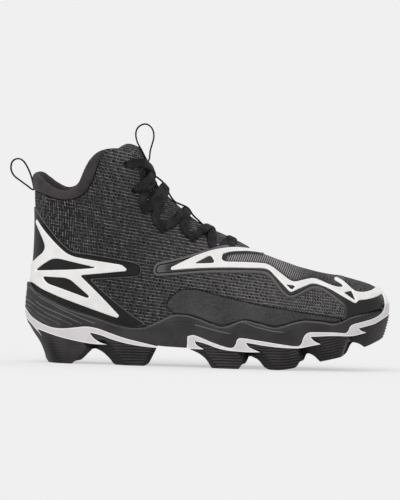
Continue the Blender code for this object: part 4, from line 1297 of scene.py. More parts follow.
@dataclass(frozen=True)
class WovenTape:
    """Flat woven tape or lace: fine ribs across it and ends along it, and on the lace, painted shade along
    its rounded edges.
    """

    name: str
    body: Tone
    light: Tone
    pick: float = 1.3
    end: float = 1.1
    # Distance from the middle where painted shade along the rounded edges begins, and how far it runs to full
    # shade.
    shaded_edge_from: float = 99.0
    shaded_edge_width: float = 1.0
    cloud: float = 5.0
    surface: Surface = Surface(0.75, 0.15, 0.2)

    def material(self) -> bpy.types.Material:
        """Builds the material.

        Returns:
            The material.
        """
        p = Paint(self.name)
        run, across, _ = p.lay()
        picks = (run + across.size() * 0.6).wave(self.pick)
        yarn = picks * 0.6 + across.wave(self.end) * 0.4
        # Painted shade along the tape's rounded edges.
        face = across.size().step(self.shaded_edge_from, self.shaded_edge_from - self.shaded_edge_width)
        colour = p.mix(yarn * p.grain(self.cloud).step(0.1, 0.9) * face, self.body, self.light)
        return p.finish(colour, yarn, self.surface)


@dataclass(frozen=True)
class Lining:
    """Soft brushed cloth with a fine slanting twill."""

    name: str
    body: Tone
    light: Tone
    twill: float = 1.3
    cloud: float = 12.0
    nap: float = 0.6
    surface: Surface = Surface(0.85, 0.15, 0.1, sheen=0.12)

    def material(self) -> bpy.types.Material:
        """Builds the material.

        Returns:
            The material.
        """
        p = Paint(self.name)
        lines = p.twill(self.twill)
        cloud = p.grain(self.cloud, 3.0).step(0.25, 0.8)
        colour = p.mix(cloud * (lines * 0.6 + 0.4), self.body, self.light)
        heights = lines * 0.6 + p.grain(self.nap) * 0.4
        return p.finish(colour, heights, self.surface)


@dataclass(frozen=True)
class CuffCloth:
    """Brushed cloth of the collar cuff, warmer and lighter along its low middle."""

    name: str = "cuff_cloth"
    body: Tone = tone(46, 44, 45)
    light: Tone = tone(70, 67, 68)
    warm: Tone = tone(74, 63, 65)
    warm_at: float = -113.0
    warm_half: Span = (17.0, 6.8)
    twill: float = 0.9
    cloud: float = 9.0
    nap: float = 0.7
    surface: Surface = Surface(0.85, 0.15, 0.08, sheen=0.1)

    def material(self) -> bpy.types.Material:
        """Builds the material.

        Returns:
            The material.
        """
        p = Paint(self.name)
        x, _, _ = p.place()
        nap = p.grain(self.nap)
        cloud = p.grain(self.cloud, 3.0).step(0.25, 0.8)
        middle = (x - self.warm_at).size().step(*self.warm_half)
        colour = p.mix(cloud * 0.6 + nap * 0.4, self.body, self.light)
        colour = p.mix(middle * 0.6, colour, self.warm)
        heights = p.twill(self.twill) * 0.4 + nap * 0.6
        return p.finish(colour, heights, self.surface)


WEAVE = OpenWeave()
TONGUE_WEAVE = OpenWeave("tongue_weave", dim=tone(84, 81, 82), row=1.7, slot=2.4)
KNIT = RibKnit()
LINING = Lining("lining", tone(34, 29, 30), tone(58, 50, 51))
CUFF_CLOTH = CuffCloth()
# The pale border tones of the counter and backing films are painted highlights along their rims; the
# backing's groove tone is partly its dark stitched seam and partly painted shade in the groove.
COUNTER_FILM = SatinFilm(
    "counter_film", tone(21, 20, 21), tone(35, 34, 35), tone(94, 92, 93), 0.5,
    surface=Surface(0.42, 0.2, 0.05, 0.12),
)
BACKING_FILM = SatinFilm(
    "backing_film", tone(28, 27, 28), tone(40, 38, 39), tone(90, 88, 89), 1.9,
    groove=tone(12, 12, 12), rand=tone(26, 26, 26),
)
PANEL_FILM = SatinFilm("panel_film", tone(40, 38, 39), tone(72, 70, 71), tone(26, 25, 26), 0.9)
# The rim tones of the white frames and plates are painted highlights.
FRAME_WHITE = MouldedWhite("frame_white", tone(242, 241, 239), tone(222, 220, 218), tone(252, 251, 250))
PLATE_WHITE = MouldedWhite("plate_white", tone(222, 217, 219), tone(202, 196, 199), tone(240, 237, 238))
# The foam's pale rim tone is a painted highlight along its rim bead and ribs.
FOAM = Moulded("midsole_foam", tone(42, 40, 41), tone(58, 56, 57), tone(108, 106, 107))
# The studs' facet and line tones are painted shade, on faces that look away from the side and along the
# slanted facet edges.
STUD_RUBBER = Moulded(
    "stud_rubber", tone(38, 35, 36), tone(60, 56, 57), tone(38, 35, 36),
    facet=tone(9, 8, 8), line=tone(6, 6, 6),
)
# The lace's darker edges are painted shade on its rounded edges.
LACE_TAPE = WovenTape("lace_tape", tone(12, 11, 13), tone(70, 67, 70), shaded_edge_from=3.9)
WEBBING = WovenTape("webbing", tone(20, 19, 20), tone(46, 44, 45), pick=1.6)
THREAD = WovenTape("thread", tone(12, 12, 12), tone(26, 25, 26), pick=0.7)
# Degrees past which an edge stays sharp, on the upper's pieces and on the sole's.
UPPER_SHARP = 42.0
SOLE_SHARP = 32.0


@functools.cache
def material_of(finish: Any) -> bpy.types.Material:
    """The material of a finish, made once."""
    return finish.material()


def linked(name: str, data: bpy.types.ID) -> bpy.types.Object:
    """A new object in the scene.

    Args:
        name: the object's name.
        data: its mesh, light or camera.

    Returns:
        The object.
    """
    made = bpy.data.objects.new(name, data)
    bpy.context.scene.collection.objects.link(made)
    return made


def bare_mesh(name: str, points: Array, polygons: Polygons) -> bpy.types.Mesh:
    """A mesh in the row frame, from points in shoe millimetres.

    Args:
        name: the mesh's name.
        points: rows of (x, y, z).
        polygons: corner numbers of each face.

    Returns:
        The mesh.
    """
    mesh = bpy.data.meshes.new(name)
    mesh.from_pydata(((np.asarray(points) - ORIGIN) * MM).tolist(), [], polygons)
    return mesh


def riding(name: str, mesh: bpy.types.Mesh, lay: Array, sharp: float) -> bpy.types.Object:
    """Makes a smooth shaded mesh a piece of the shoe.

    Args:
        name: the piece's name.
        mesh: its mesh, with its materials.
        lay: millimetres along, across and in from the rim, for each point.
        sharp: edges that bend more than this many degrees stay sharp.

    Returns:
        The piece, riding on the shoe's body.
    """
    attribute = mesh.attributes.new(LAY, "FLOAT_VECTOR", "POINT")
    attribute.data.foreach_set("vector", np.ascontiguousarray(lay, np.float32).ravel())
    mesh.shade_smooth()
    mesh.set_sharp_from_angle(angle=math.radians(sharp))
    made = linked(name, mesh)
    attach(made, "root")
    LOG.info("%s: %d points, %d faces", name, len(mesh.vertices), len(mesh.polygons))
    return made


def mesh_piece(
    name: str,
    points: Array,
    polygons: Polygons,
    lay: Array,
    finishes: Sequence[Any],
    slots: Sequence[int] = (),
) -> bpy.types.Object:
    """Makes a piece from points in shoe millimetres.

    Args:
        name: the piece's name.
        points: rows of (x, y, z).
        polygons: corner numbers of each face.
        lay: millimetres along, across and in from the rim, for each point.
        finishes: the finishes of the material slots.
        slots: material slot of each face; none means the first.

    Returns:
        The piece.
    """
    mesh = bare_mesh(name, points, polygons)
    for finish in finishes:
        mesh.materials.append(material_of(finish))
    if len(slots):
        mesh.polygons.foreach_set("material_index", np.asarray(slots, np.int32))
    return riding(name, mesh, lay, UPPER_SHARP)


def dressed(made: bpy.types.Object, slot: str, *nodes: str) -> bpy.types.Object:
    """Hides the solids, if any, that a piece stands for.

    Args:
        made: the piece.
        slot: the slot's name; not used.
        *nodes: names of the solids, if any.

    Returns:
        The same piece.
    """
    if nodes:
        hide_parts(*nodes)
    return made


def facing_out(made: bpy.types.Object) -> bpy.types.Object:
    """Turns every face of a closed piece outwards.

    Args:
        made: the piece.

    Returns:
        The same piece.
    """
    bm = bmesh.new()
    bm.from_mesh(made.data)
    bmesh.ops.recalc_face_normals(bm, faces=bm.faces)
    bm.to_mesh(made.data)
    bm.free()
    return made


def loft(sections: Array, closed: bool = False) -> Polygons:
    """Faces between neighbouring rings of points.

    Args:
        sections: points as (ring, point on it, 3).
        closed: whether the last ring joins the first.

    Returns:
        Polygons, numbered ring by ring.
    """
    runs, ring = sections.shape[:2]
    polygons = []
    for i in range(runs if closed else runs - 1):
        first, second = i * ring, (i + 1) % runs * ring
        for k in range(ring):
            after = (k + 1) % ring
            polygons.append([first + k, first + after, second + after, second + k])
    return polygons


def tube(sections: Array) -> Polygons:
    """Faces of a closed body through rings, each end closed by one face.

    Args:
        sections: points as (ring, point on it, 3).

    Returns:
        Polygons, numbered ring by ring.
    """
    runs, ring = sections.shape[:2]
    last = (runs - 1) * ring
    return loft(sections) + [list(range(ring)), [last + k for k in reversed(range(ring))]]


def ring_caps(count: int, start: int) -> Polygons:
    """Strips from side to side that close a ring round the shoe, which starts at the toe.

    Args:
        count: points on the ring.
        start: number of its first point.

    Returns:
        The strips.
    """
    half = count // 2
    strips = []
    for i in range(half):
        corners = (i, i + 1, (count - i - 1) % count, (count - i) % count)
        strips.append([start + corner for corner in dict.fromkeys(corners)])
    return [strip for strip in strips if len(strip) > 2]


def stacked(sections: Array) -> Polygons:
    """Faces of a closed body through rings round the shoe, with strips across its low and high end."""
    runs, ring = sections.shape[:2]
    return loft(sections) + ring_caps(ring, 0) + ring_caps(ring, (runs - 1) * ring)


class Splitter:
    """Splits polygons along level lines of a value that each point carries."""

    def __init__(self, rows: Array, polygons: Polygons) -> None:
        """Holds rows of numbers per point, the last one the value, and the polygons.

        Args:
            rows: numbers of each point.
            polygons: corner numbers of each face.
        """
        self.rows = [row for row in rows]
        self.polygons = polygons
        self.cuts: dict[tuple[int, int], int] = {}

    def _crossing(self, first: int, second: int, level: float) -> int:
        """The point between two others where the value is at the level.

        Args:
            first: number of one point.
            second: number of the other.
            level: the value looked for.

        Returns:
            The new point's number.
        """
        key = (min(first, second), max(first, second))
        if key not in self.cuts:
            low, high = self.rows[key[0]], self.rows[key[1]]
            share = (level - low[-1]) / (high[-1] - low[-1])
            row = low + (high - low) * share
            row[-1] = level
            self.cuts[key] = len(self.rows)
            self.rows.append(row)
        return self.cuts[key]

    def split(self, level: float, keep_above: bool) -> None:
        """Cuts every polygon at the level and keeps the part below, or both parts.

        Args:
            level: the value to cut at.
            keep_above: whether the part above is kept too.
        """
        kept: Polygons = []
        self.cuts = {}
        for polygon in self.polygons:
            values = [self.rows[corner][-1] - level for corner in polygon]
            if max(values) <= 0:
                kept.append(polygon)
                continue
            if min(values) >= 0:
                if keep_above:
                    kept.append(polygon)
                continue
            below: list[int] = []
            above: list[int] = []
            for k, corner in enumerate(polygon):
                after = (k + 1) % len(polygon)
                if values[k] <= 0:
                    below.append(corner)
                if values[k] >= 0:
                    above.append(corner)
                if values[k] * values[after] < 0:
                    middle = self._crossing(corner, polygon[after], level)
                    below.append(middle)
                    above.append(middle)
            kept += [part for part in ((below, above) if keep_above else (below,)) if len(part) > 2]
        self.polygons = kept


@dataclass(frozen=True)
class Crown:
    """How high a layer stands over the upper, from its rim inwards."""

    low: float
    high: float
    round: float = 0.5
    border: float = 0.0
    border_width: float = 0.0
    border_fall: float = 0.25
    groove: float = 0.0
    groove_at: float = 0.5
    groove_edge: Span = (0.5, 0.1)
    toe_gain: float = 0.0
    plain: Span = (246.0, 256.0)
    toe: Span = (270.0, 291.0)
    rim_levels: tuple[float, ...] = (0.1, 0.38, 1.0)
    groove_levels: tuple[float, ...] = (0.0, 0.25, 0.5, 0.75, 1.0)

    def levels(self) -> list[float]:
        """Depths at which the mesh is split, so that rim and groove have even curves.

        Returns:
            The depths.
        """
        depths = [self.round * share for share in self.rim_levels]
        if self.border:
            depths += [self.border_width + step for step in self.groove_levels]
        return depths

    def lift(self, depth: Array, x: Array) -> Array:
        """Height over the upper's face.

        Args:
            depth: distances in from the rim.
            x: places along the shoe.

        Returns:
            The heights.
        """
        share = np.clip(depth / self.round, 0, 1)
        curve = np.sqrt(np.maximum(1 - (1 - share) ** 2, 0))
        beyond = depth - self.border_width
        relief = self.border * (1 - ease(beyond, 0, self.border_fall))
        relief = relief - self.groove * ease(np.abs(beyond - self.groove_at), *self.groove_edge)
        high = self.high + relief * (1 - ease(x, *self.plain))
        high = high + self.toe_gain * ease(x, *self.toe)
        return self.low + (high - self.low) * curve


# Marks of an edge that one face alone uses, from its lower corner number or from its higher.
RISING, FALLING = 1, 2


class Skin:
    """The upper's outer face on a grid, with its creases pressed in, from which layers are cut."""

    def __init__(self, spacing: float, rows: int) -> None:
        """Samples the last.

        Args:
            spacing: largest step between columns.
            rows: steps from the feather line to the top.
        """
        self.places = LAST.columns(spacing)
        self.heights = np.linspace(0, 1, rows + 1)
        grid = self.places[:, None], self.heights[None, :]
        self.points = LAST.surface(*grid)
        self.normals = LAST.facing(*grid)
        count = len(self.places)
        self.ids = np.arange(count * (rows + 1)).reshape(count, rows + 1)
        for i in range(1, count // 2):
            if abs(self.places[i]) >= THROAT_END:
                self.ids[count - i, -1] = self.ids[i, -1]
                middle = unit(self.normals[i, -1] + self.normals[count - i, -1])
                self.normals[i, -1] = self.normals[count - i, -1] = middle
        self.rib = LAST.rib_length(self.places)
        self.climb = self.heights[None, :] * self.rib[:, None]
        step = np.linalg.norm(np.diff(self.points, axis=0), axis=-1)
        run = np.concatenate([np.zeros((1, rows + 1)), np.cumsum(step, axis=0)])
        self.run = np.abs(run - run[np.argmin(np.abs(self.places))])
        self._press()

    def _press(self) -> None:
        """Presses the creases into the face."""
        flat = self.points[..., SEEN]
        for x0, z0, x1, z1, width, depth in CREASES:
            share, away = beside(flat, np.array((x0, z0)), np.array((x1, z1)))
            fade = np.sin(math.pi * (CREASE_ENDS + (1 - 2 * CREASE_ENDS) * share))
            self.points -= self.normals * (depth * fade * np.exp(-((away / width) ** 2)))[..., None]

    def outline_field(self, outline: Outline, holes: Sequence[Outline] = ()) -> Array:
        """Distance of the grid from a side outline, negative inside it and outside its holes.

        Args:
            outline: corners (x, z).
            holes: outlines of the holes in it.

        Returns:
            A distance for each grid point.
        """
        flat = self.points[..., SEEN].reshape(-1, 2)
        field = edge_distance(flat, rounded(outline))
        for hole in holes:
            field = np.maximum(field, -edge_distance(flat, rounded(hole)))
        return field.reshape(self.places.shape + self.heights.shape)

    def cut(
        self,
        name: str,
        field: Array,
        crown: Crown,
        finishes: Sequence[Any],
        columns: Array | None = None,
        rim: Array | None = None,
    ) -> bpy.types.Object:
        """Cuts a closed layer out of the face.

        Args:
            name: the piece's name.
            field: distance of each grid point from the layer's edge, negative inside.
            crown: heights of the layer over the face.
            finishes: finish of the outside and, where there are two, of the inside.
            columns: which columns may take part; None means all.
            rim: distance from the edge that the finish goes by; None means the field.

        Returns:
            The layer.
        """
        count = len(self.places)
        after = (np.arange(count) + 1) % count
        ends = self.ids, self.ids[after]
        corners = np.stack([ends[0][:, :-1], ends[0][:, 1:], ends[1][:, 1:], ends[1][:, :-1]], axis=-1)
        least = np.minimum(field, field[after])
        wanted = np.minimum(least[:, :-1], least[:, 1:]) < 0
        if columns is not None:
            wanted &= (columns & columns[after])[:, None]
        table = [*np.moveaxis(self.points, -1, 0), *np.moveaxis(self.normals, -1, 0), self.run, self.climb]
        table += [field if rim is None else rim, field]
        rows = np.stack([column.ravel() for column in table], axis=1)
        used, faces = np.unique(corners[wanted], return_inverse=True)
        splitter = Splitter(rows[used], faces.reshape(-1, 4).tolist())
        splitter.split(0.0, keep_above=False)
        for depth in crown.levels():
            splitter.split(-depth, keep_above=True)
        return self._closed(name, splitter, crown, finishes)

    @staticmethod
    def _closed(name: str, splitter: Splitter, crown: Crown, finishes: Sequence[Any]) -> bpy.types.Object:
        """Gives cut polygons their lift, an underside and a skirt between them.

        Args:
            name: the piece's name.
            splitter: the cut polygons.
            crown: heights of the layer over the face.
            finishes: finish of the outside and, where there are two, of the inside.

        Returns:
            The layer.
        """
        used, flat = np.unique(np.concatenate(splitter.polygons), return_inverse=True)
        ends = np.cumsum([len(polygon) for polygon in splitter.polygons])[:-1]
        top = [part.tolist() for part in np.split(flat, ends)]
        rows = np.array(splitter.rows)[used]
        points, normals, depth = rows[:, :3], rows[:, 3:6], np.maximum(-rows[:, -1], 0)
        lift = crown.lift(depth, points[:, 0])
        upper = points + normals * lift[:, None]
        under = points + normals * crown.low
        count = len(points)
        edges: dict[tuple[int, int], int] = {}
        for polygon in top:
            for first, second in zip(polygon, polygon[1:] + polygon[:1]):
                key = (min(first, second), max(first, second))
                edges[key] = edges.get(key, 0) + (RISING if first < second else FALLING)
        skirt = []
        for (low, high), way in edges.items():
            if way in (RISING, FALLING):
                first, second = (low, high) if way == RISING else (high, low)
                skirt.append([second, first, first + count, second + count])
        rim = np.isclose(lift, crown.low)
        bottom = [[corner + count for corner in reversed(polygon)] for polygon in top]
        numbers = np.arange(count)
        merged = np.concatenate([numbers, np.where(rim, numbers, numbers + count)])
        polygons = top + [polygon for polygon in skirt if not rim[polygon[:2]].all()] + bottom
        polygons = [list(dict.fromkeys(merged[polygon].tolist())) for polygon in polygons]
        inside = 1 if len(finishes) > 1 else 0
        slots = [0] * (len(polygons) - len(bottom)) + [inside] * len(bottom)
        lay = rows[:, 6:9] * (1, 1, -1)
        kept, numbers = np.unique(np.concatenate(polygons), return_inverse=True)
        ends = np.cumsum([len(polygon) for polygon in polygons])[:-1]
        polygons = [part.tolist() for part in np.split(numbers, ends)]
        both = np.concatenate([upper, under])[kept]
        return mesh_piece(name, both, polygons, np.concatenate([lay, lay])[kept], finishes, slots)


@dataclass
class Upper:
    """Woven shell of the upper, open at collar, throat and underneath, with punched eyelets."""

    spacing: float = 2.2
    rows: int = 56
    cuff_seam: float = 0.5
    cuff_stop: float = CUFF_END - 0.15
    eyelet: float = 2.4
    crown: Crown = Crown(-WALL, 0.0, 0.6)

    def build(self) -> None:
        """Cuts the shell from a coarser skin than the films."""
        skin = Skin(self.spacing, self.rows)
        lateral = skin.outline_field(ABOVE_CUFF)
        mirror = (-np.arange(len(skin.places))) % len(skin.places)
        place = skin.places[:, None]
        away = np.where(place > 0, lateral[mirror], lateral)
        field = np.where(np.abs(place) < self.cuff_stop, self.cuff_seam - away, -self.spacing)
        for side in Side:
            for station, distance in EYELETS:
                centre = LAST.surface(*LAST.beside_throat(station, side, distance))
                field = np.maximum(field, self.eyelet - np.linalg.norm(skin.points - centre, axis=-1))
        dressed(skin.cut("upper_shell", field, self.crown, (WEAVE, LINING)), "upper_weave", "upper")


@dataclass
class Overlays:
    """Films and frames bonded on the upper, each following its own outline, and their stitching."""

    spacing: float = 1.25
    rows: int = 92
    film: Crown = Crown(0.05, 1.0, 0.45)
    bordered: Crown = Crown(0.05, 0.9, 0.5, border=0.45, border_width=1.9, groove=0.35, toe_gain=2.9)
    moulding: Crown = Crown(0.3, 2.0, 0.8, toe_gain=2.9)
    knit: Crown = Crown(-0.4, 0.55, 0.5, toe_gain=2.9)
    knit_lap: float = 0.7
    panel_inset: float = 0.7
    panel_corner: float = 3.0
    backing_inset: float = 2.4
    counter_inset: float = 1.4
    film_lift: float = 1.05
    groove_lift: float = 0.7
    stitch: float = 1.7
    stitch_start: float = 0.5
    stitch_pitch: float = 2.5
    end_sink: float = 0.35
    end_narrow: float = 0.4

    def build(self) -> None:
        """Cuts every film and frame from one fine skin, and sews them."""
        skin = Skin(self.spacing, self.rows)
        windows = (BACKING_WINDOW, TOE_WINDOW)
        knit = np.minimum(*(skin.outline_field(outset(window, self.knit_lap)) for window in windows))
        dressed(skin.cut("vamp_knit", knit, self.knit, (KNIT,)), "upper_weave")
        backing = [*BACKING, *above_rim(BACKING_RIM, 4 * GAP), *BACKING_LOW]
        field, rim = skin.outline_field(backing, windows), skin.outline_field(backing)
        film = skin.cut("vamp_backing_film", field, self.bordered, (BACKING_FILM,), rim=rim)
        dressed(film, "dark_film", "vamp_backing")
        field = skin.outline_field([*COUNTER, *above_rim(COUNTER_RIM, 2 * GAP)])
        film = skin.cut("heel_counter_film", field, self.film, (COUNTER_FILM,))
        dressed(film, "dark_film", "heel_counter")
        field = skin.outline_field([*PANEL, *above_rim(PANEL_RIM, 4 * GAP)])
        for side in Side:
            columns = skin.places * side.value > 0
            word = side.name.lower()
            film = skin.cut(f"side_panel_{word}_film", field, self.film, (PANEL_FILM,), columns)
            dressed(film, "dark_film", f"side_panel_{word}")
        heel = skin.outline_field(HEEL_FRAME, HEEL_WINDOWS)
        vamp = skin.outline_field(VAMP_FRAME, [VAMP_WINDOW, *VAMP_HOLES])
        vamp = np.minimum(vamp, skin.outline_field(TOE_STRIP))
        for node, field in (("heel_frame", heel), ("vamp_frame", vamp)):
            frame_piece = skin.cut(node + "_moulding", field, self.moulding, (FRAME_WHITE,))
            dressed(frame_piece, "white_frame", node)
        self._sew()

    def _sew(self) -> None:
        """Rows of stitches along the films' edges."""
        line = rounded(outset([*PANEL, *PANEL_FOOT], -self.panel_inset), self.panel_corner)
        first, last = PANEL_STITCHED
        self._stitching("side_panel_stitches", line[first:last], self.film_lift)
        backing = [*BACKING_LOW, *BACKING, *above_rim(BACKING_RIM, 0)]
        first, last = (number * CORNER_SAMPLES for number in BACKING_STITCHED)
        line = rounded(outset(backing, -self.backing_inset))[first:last]
        self._stitching("vamp_backing_stitches", line, self.groove_lift)
        first, last = COUNTER_STITCHED
        line = outset([*COUNTER, *COUNTER_FOOT], -self.counter_inset)[first:last]
        self._stitching("heel_counter_stitches", line, self.film_lift)

    def _stitching(self, name: str, line: Array, lift: float) -> None:
        """A row of short stitches along a side line, on both sides of the shoe.

        Args:
            name: the piece's name.
            line: points (x, z).
            lift: height of the thread's middle over the upper's face.
        """
        run = run_along(line)
        starts = np.arange(self.stitch_start, run[-1] - self.stitch, self.stitch_pitch)
        meshes = []
        for side in Side:
            rows = []
            for part in (0.0, 0.5, 1.0):
                stops = starts + part * self.stitch
                flat = np.stack([np.interp(stops, run, axis) for axis in line.T], axis=1)
                place, height = LAST.locate(flat, side)
                off_middle = abs(2 * part - 1)
                point = LAST.raised(place, height, np.full(len(flat), lift - self.end_sink * off_middle))
                share = np.full((len(flat), 1), 1 - self.end_narrow * off_middle)
                rows.append(np.concatenate([point, LAST.facing(place, height), share], axis=1))
            meshes += [STITCH_THREAD.mesh(route) for route in np.stack(rows, axis=1)]
        dressed(facing_out(mesh_piece(name, *joined(meshes), (THREAD,))), "webbing")


@dataclass(frozen=True)
class Ribbon:
    """A flat tape with rounded selvedges along a line."""

    width: float
    thick: float
    step: float = 1.1
    sides: int = 14
    arch: float = 0.0
    squareness: float = 0.35
    flatness: float = 0.8

    def mesh(self, rows: Any, closed: bool = False) -> tuple[Array, Polygons, Array]:
        """Points, faces and lay of the tape.

        Args:
            rows: route as (x, y, z, outward x, y, z, share of the width).
            closed: whether the tape comes back to its start.

        Returns:
            Points, polygons and lay.
        """
        line = flowing(rows, self.step, closed)
        path, share = line[:, :3], line[:, 6]
        tangent = heading(path, closed)
        across = unit(np.cross(tangent, line[:, 3:6]))
        out = np.cross(across, tangent)
        turns = np.linspace(0, 2 * math.pi, self.sides, endpoint=False)
        wide = np.sign(np.cos(turns)) * np.abs(np.cos(turns)) ** self.squareness * self.width / 2
        thick = np.sign(np.sin(turns)) * np.abs(np.sin(turns)) ** self.flatness * self.thick / 2
        thick = thick + self.arch * (0.5 - (2 * wide / self.width) ** 2)
        spread = wide[None, :] * share[:, None]
        sections = path[:, None] + across[:, None] * spread[..., None] + out[:, None] * thick[None, :, None]
        polygons = loft(sections, closed=True) if closed else tube(sections)
        along = np.broadcast_to((np.arange(len(path)) * self.step)[:, None], spread.shape)
        lay = np.stack([along, spread, np.zeros_like(spread)], axis=-1)
        return sections.reshape(-1, 3), polygons, lay.reshape(-1, 3)


STITCH_THREAD = Ribbon(1.0, 0.7, step=0.4, sides=8)


def joined(meshes: Iterable[tuple[Array, Polygons, Array]]) -> tuple[Array, Polygons, Array]:
    """Several meshes as one.

    Args:
        meshes: points, polygons and lay of each.

    Returns:
        Points, polygons and lay of them all.
    """
    points: list[Array] = []
    polygons: Polygons = []
    lays: list[Array] = []
    start = 0
    for part, faces, lay in meshes:
        points.append(part)
        lays.append(lay)
        polygons += [[corner + start for corner in face] for face in faces]
        start += len(part)
    return np.concatenate(points), polygons, np.concatenate(lays)


def flat_route(line: Outline, y: float, closed: bool = False) -> Array:
    """Route of a tape that keeps to one plane along the shoe.

    Args:
        line: points (x, z).
        y: where the plane is.
        closed: whether the tape comes back to its start.

    Returns:
        Rows as a ribbon takes them.
    """
    flat = np.array(line, float)
    x, z = flat.T
    ahead_x, ahead_z = heading(flat, closed).T
    none, full = np.zeros_like(x), np.ones_like(x)
    return np.stack([x, full * y, z, -ahead_z, none, ahead_x, full], axis=1)


# How far off its side place a spot on the upper may be; past that, it is looked for on the tongue.
MOST_MISS = 0.5
TONGUE_STATIONS = np.linspace(8.4, 14.5, 245)


@dataclass
class Lacing:
    """Flat laces from under the vamp frame to the top eyelets, their keepers and the tongue's tape."""

    width: float = 8.2
    thick: float = 1.6
    arch: float = 0.7
    lift: float = 1.5
    turn_share: float = 0.86
    end_share: float = 0.9
    near_share: float = 0.75
    hole_share: float = 0.5
    over: float = 0.7
    crest_turn: float = 0.05
    tucked: float = 0.1
    near: float = 2.4
    near_lift: float = 0.7
    hole_depth: float = 1.8
    last_reach: Span = (6.0, 5.0)
    tab_reach: float = 4.2
    tab: Ribbon = Ribbon(4.4, 1.0)
    tab_arch: tuple[Span, ...] = ((-1.0, 0.2), (-0.8, 1.3), (0.0, 2.7), (0.8, 1.3), (1.0, 0.2))
    tape: Ribbon = Ribbon(5.0, 1.5)

    def _row(self, flat: Any, side: Side, lift: float, share: float) -> Array:
        """A route row at a side place (x, z), on the upper or over the tongue.

        Args:
            flat: the place (x, z).
            side: side of the shoe.
            lift: height over what is below.
            share: share of the tape's width.

        Returns:
            Point, outward direction and share.
        """
        flat = np.asarray(flat, float)
        place, height = (float(found[0]) for found in LAST.locate(flat, side))
        point, out = LAST.surface(place, height), LAST.facing(place, height)
        if np.linalg.norm(point[..., SEEN] - flat) > MOST_MISS:
            edge = LAST.surface(side.value * TONGUE_STATIONS, 1.0)
            crest = np.array([LAST.crest(station) for station in TONGUE_STATIONS])
            rise = (crest - edge)[:, SEEN]
            offset = flat - edge[:, SEEN]
            away = np.abs(rise[:, 0] * offset[:, 1] - rise[:, 1] * offset[:, 0]) / np.hypot(*rise.T)
            best = np.argmin(away)
            up = float(np.clip(offset[best] @ rise[best] / (rise[best] @ rise[best]), 0, 1))
            aside = math.sqrt(1 - up * up)
            y = crest[best, 1] + (edge[best, 1] - crest[best, 1]) * aside
            point = np.array([flat[0], y, flat[1]])
            slope = unit(crest[min(best + 1, len(crest) - 1)] - crest[max(best - 1, 0)])
            out = unit(np.array([-slope[2] * up, side.value * aside, slope[0] * up]))
        return np.concatenate([point + out * lift, out, [share]])

    def _turn(self, number: int, side: Side) -> list[Array]:
        """Route rows of one turn, from the toe end of its crest run to the heel end.

        Args:
            number: the turn's number from the top.
            side: side of the shoe.

        Returns:
            The rows.
        """
        flat = LACE_TURNS[number][::-1]
        kept = number < KEPT_TURNS
        low_lift, low_share = (self.lift, self.turn_share) if kept else (self.tucked, 1)
        rows = []
        for k, point in enumerate(flat[1:-1], 1):
            down = min(2 - 2 * abs(2 * k / (len(flat) - 1) - 1), 1)
            lift = self.lift + (low_lift - self.lift) * down
            rows.append(self._row(point, side, lift, 1 + (low_share - 1) * down))
        return rows

    def _crest(self, flat: tuple[float, float], side: Side) -> Array:
        """Route row where the lace passes over the tongue's crest.

        Args:
            flat: the place (x, z).
            side: the side that the strand starts on.

        Returns:
            The row.
        """
        row = self._row(flat, side, 0, 1)
        row[1] = LAST.crest(MIDDLE_STATION)[1]
        row[3:6] = unit(row[3:6] * (1, self.crest_turn, 1))
        row[:3] += row[3:6] * (self.over if side is Side.LATERAL else -self.over)
        return row

    def _strand(self, side: Side) -> list[list[Array]]:
        """Routes of one half of the lace, from under the vamp frame to a top eyelet.

        Args:
            side: the side that it starts on.

        Returns:
            Its low route and its top route.
        """
        first, other = side, Side(-side.value)
        low = [self._row(LACE_START[0], side, self.tucked, 1), self._row(LACE_START[1], side, self.lift, 1)]
        low.append(self._crest(LACE_START[2], first))
        for number in reversed(range(len(LACE_TURNS))):
            side, other = other, side
            low += self._turn(number, side)
            low.append(self._crest(LACE_TURNS[number][0], first))
        side, other = other, side
        hole = LAST.surface(*self._hole(1, side))[..., SEEN]
        low.append(self._row(hole + self.last_reach, side, -self.hole_depth, 1))
        top = [
            *self._eyelet(1, side, LACE_TOP[4])[::-1],
            self._row(LACE_TOP[4], side, self.lift, self.end_share),
            self._row(LACE_TOP[3], side, self.lift, 1),
            self._crest(LACE_TOP[2], first),
            self._row(LACE_TOP[1], other, self.lift, 1),
            self._row(LACE_TOP[0], other, self.lift, self.end_share),
            *self._eyelet(0, other, LACE_TOP[0]),
        ]
        return [low, top]

    @staticmethod
    def _hole(number: int, side: Side) -> tuple[float, float]:
        """Place and height of an eyelet on the upper."""
        station, distance = EYELETS[number]
        return LAST.beside_throat(station, side, distance)

    def _eyelet(self, number: int, side: Side, before: tuple[float, float]) -> list[Array]:
        """Route rows where the lace goes in at an eyelet.

        Args:
            number: the eyelet's number.
            side: side of the shoe.
            before: side place (x, z) that the lace comes from.

        Returns:
            A row just before the eyelet and one below it.
        """
        place, height = self._hole(number, side)
        hole, out = LAST.surface(place, height), LAST.facing(place, height)
        flat = hole[..., SEEN]
        ahead = unit(np.array(before) - flat)
        near = self._row(flat + ahead * self.near, side, self.lift * self.near_lift, self.near_share)
        below = hole - out * self.hole_depth + (ahead[0], 0, ahead[1])
        return [near, np.concatenate([below, out, [self.hole_share]])]

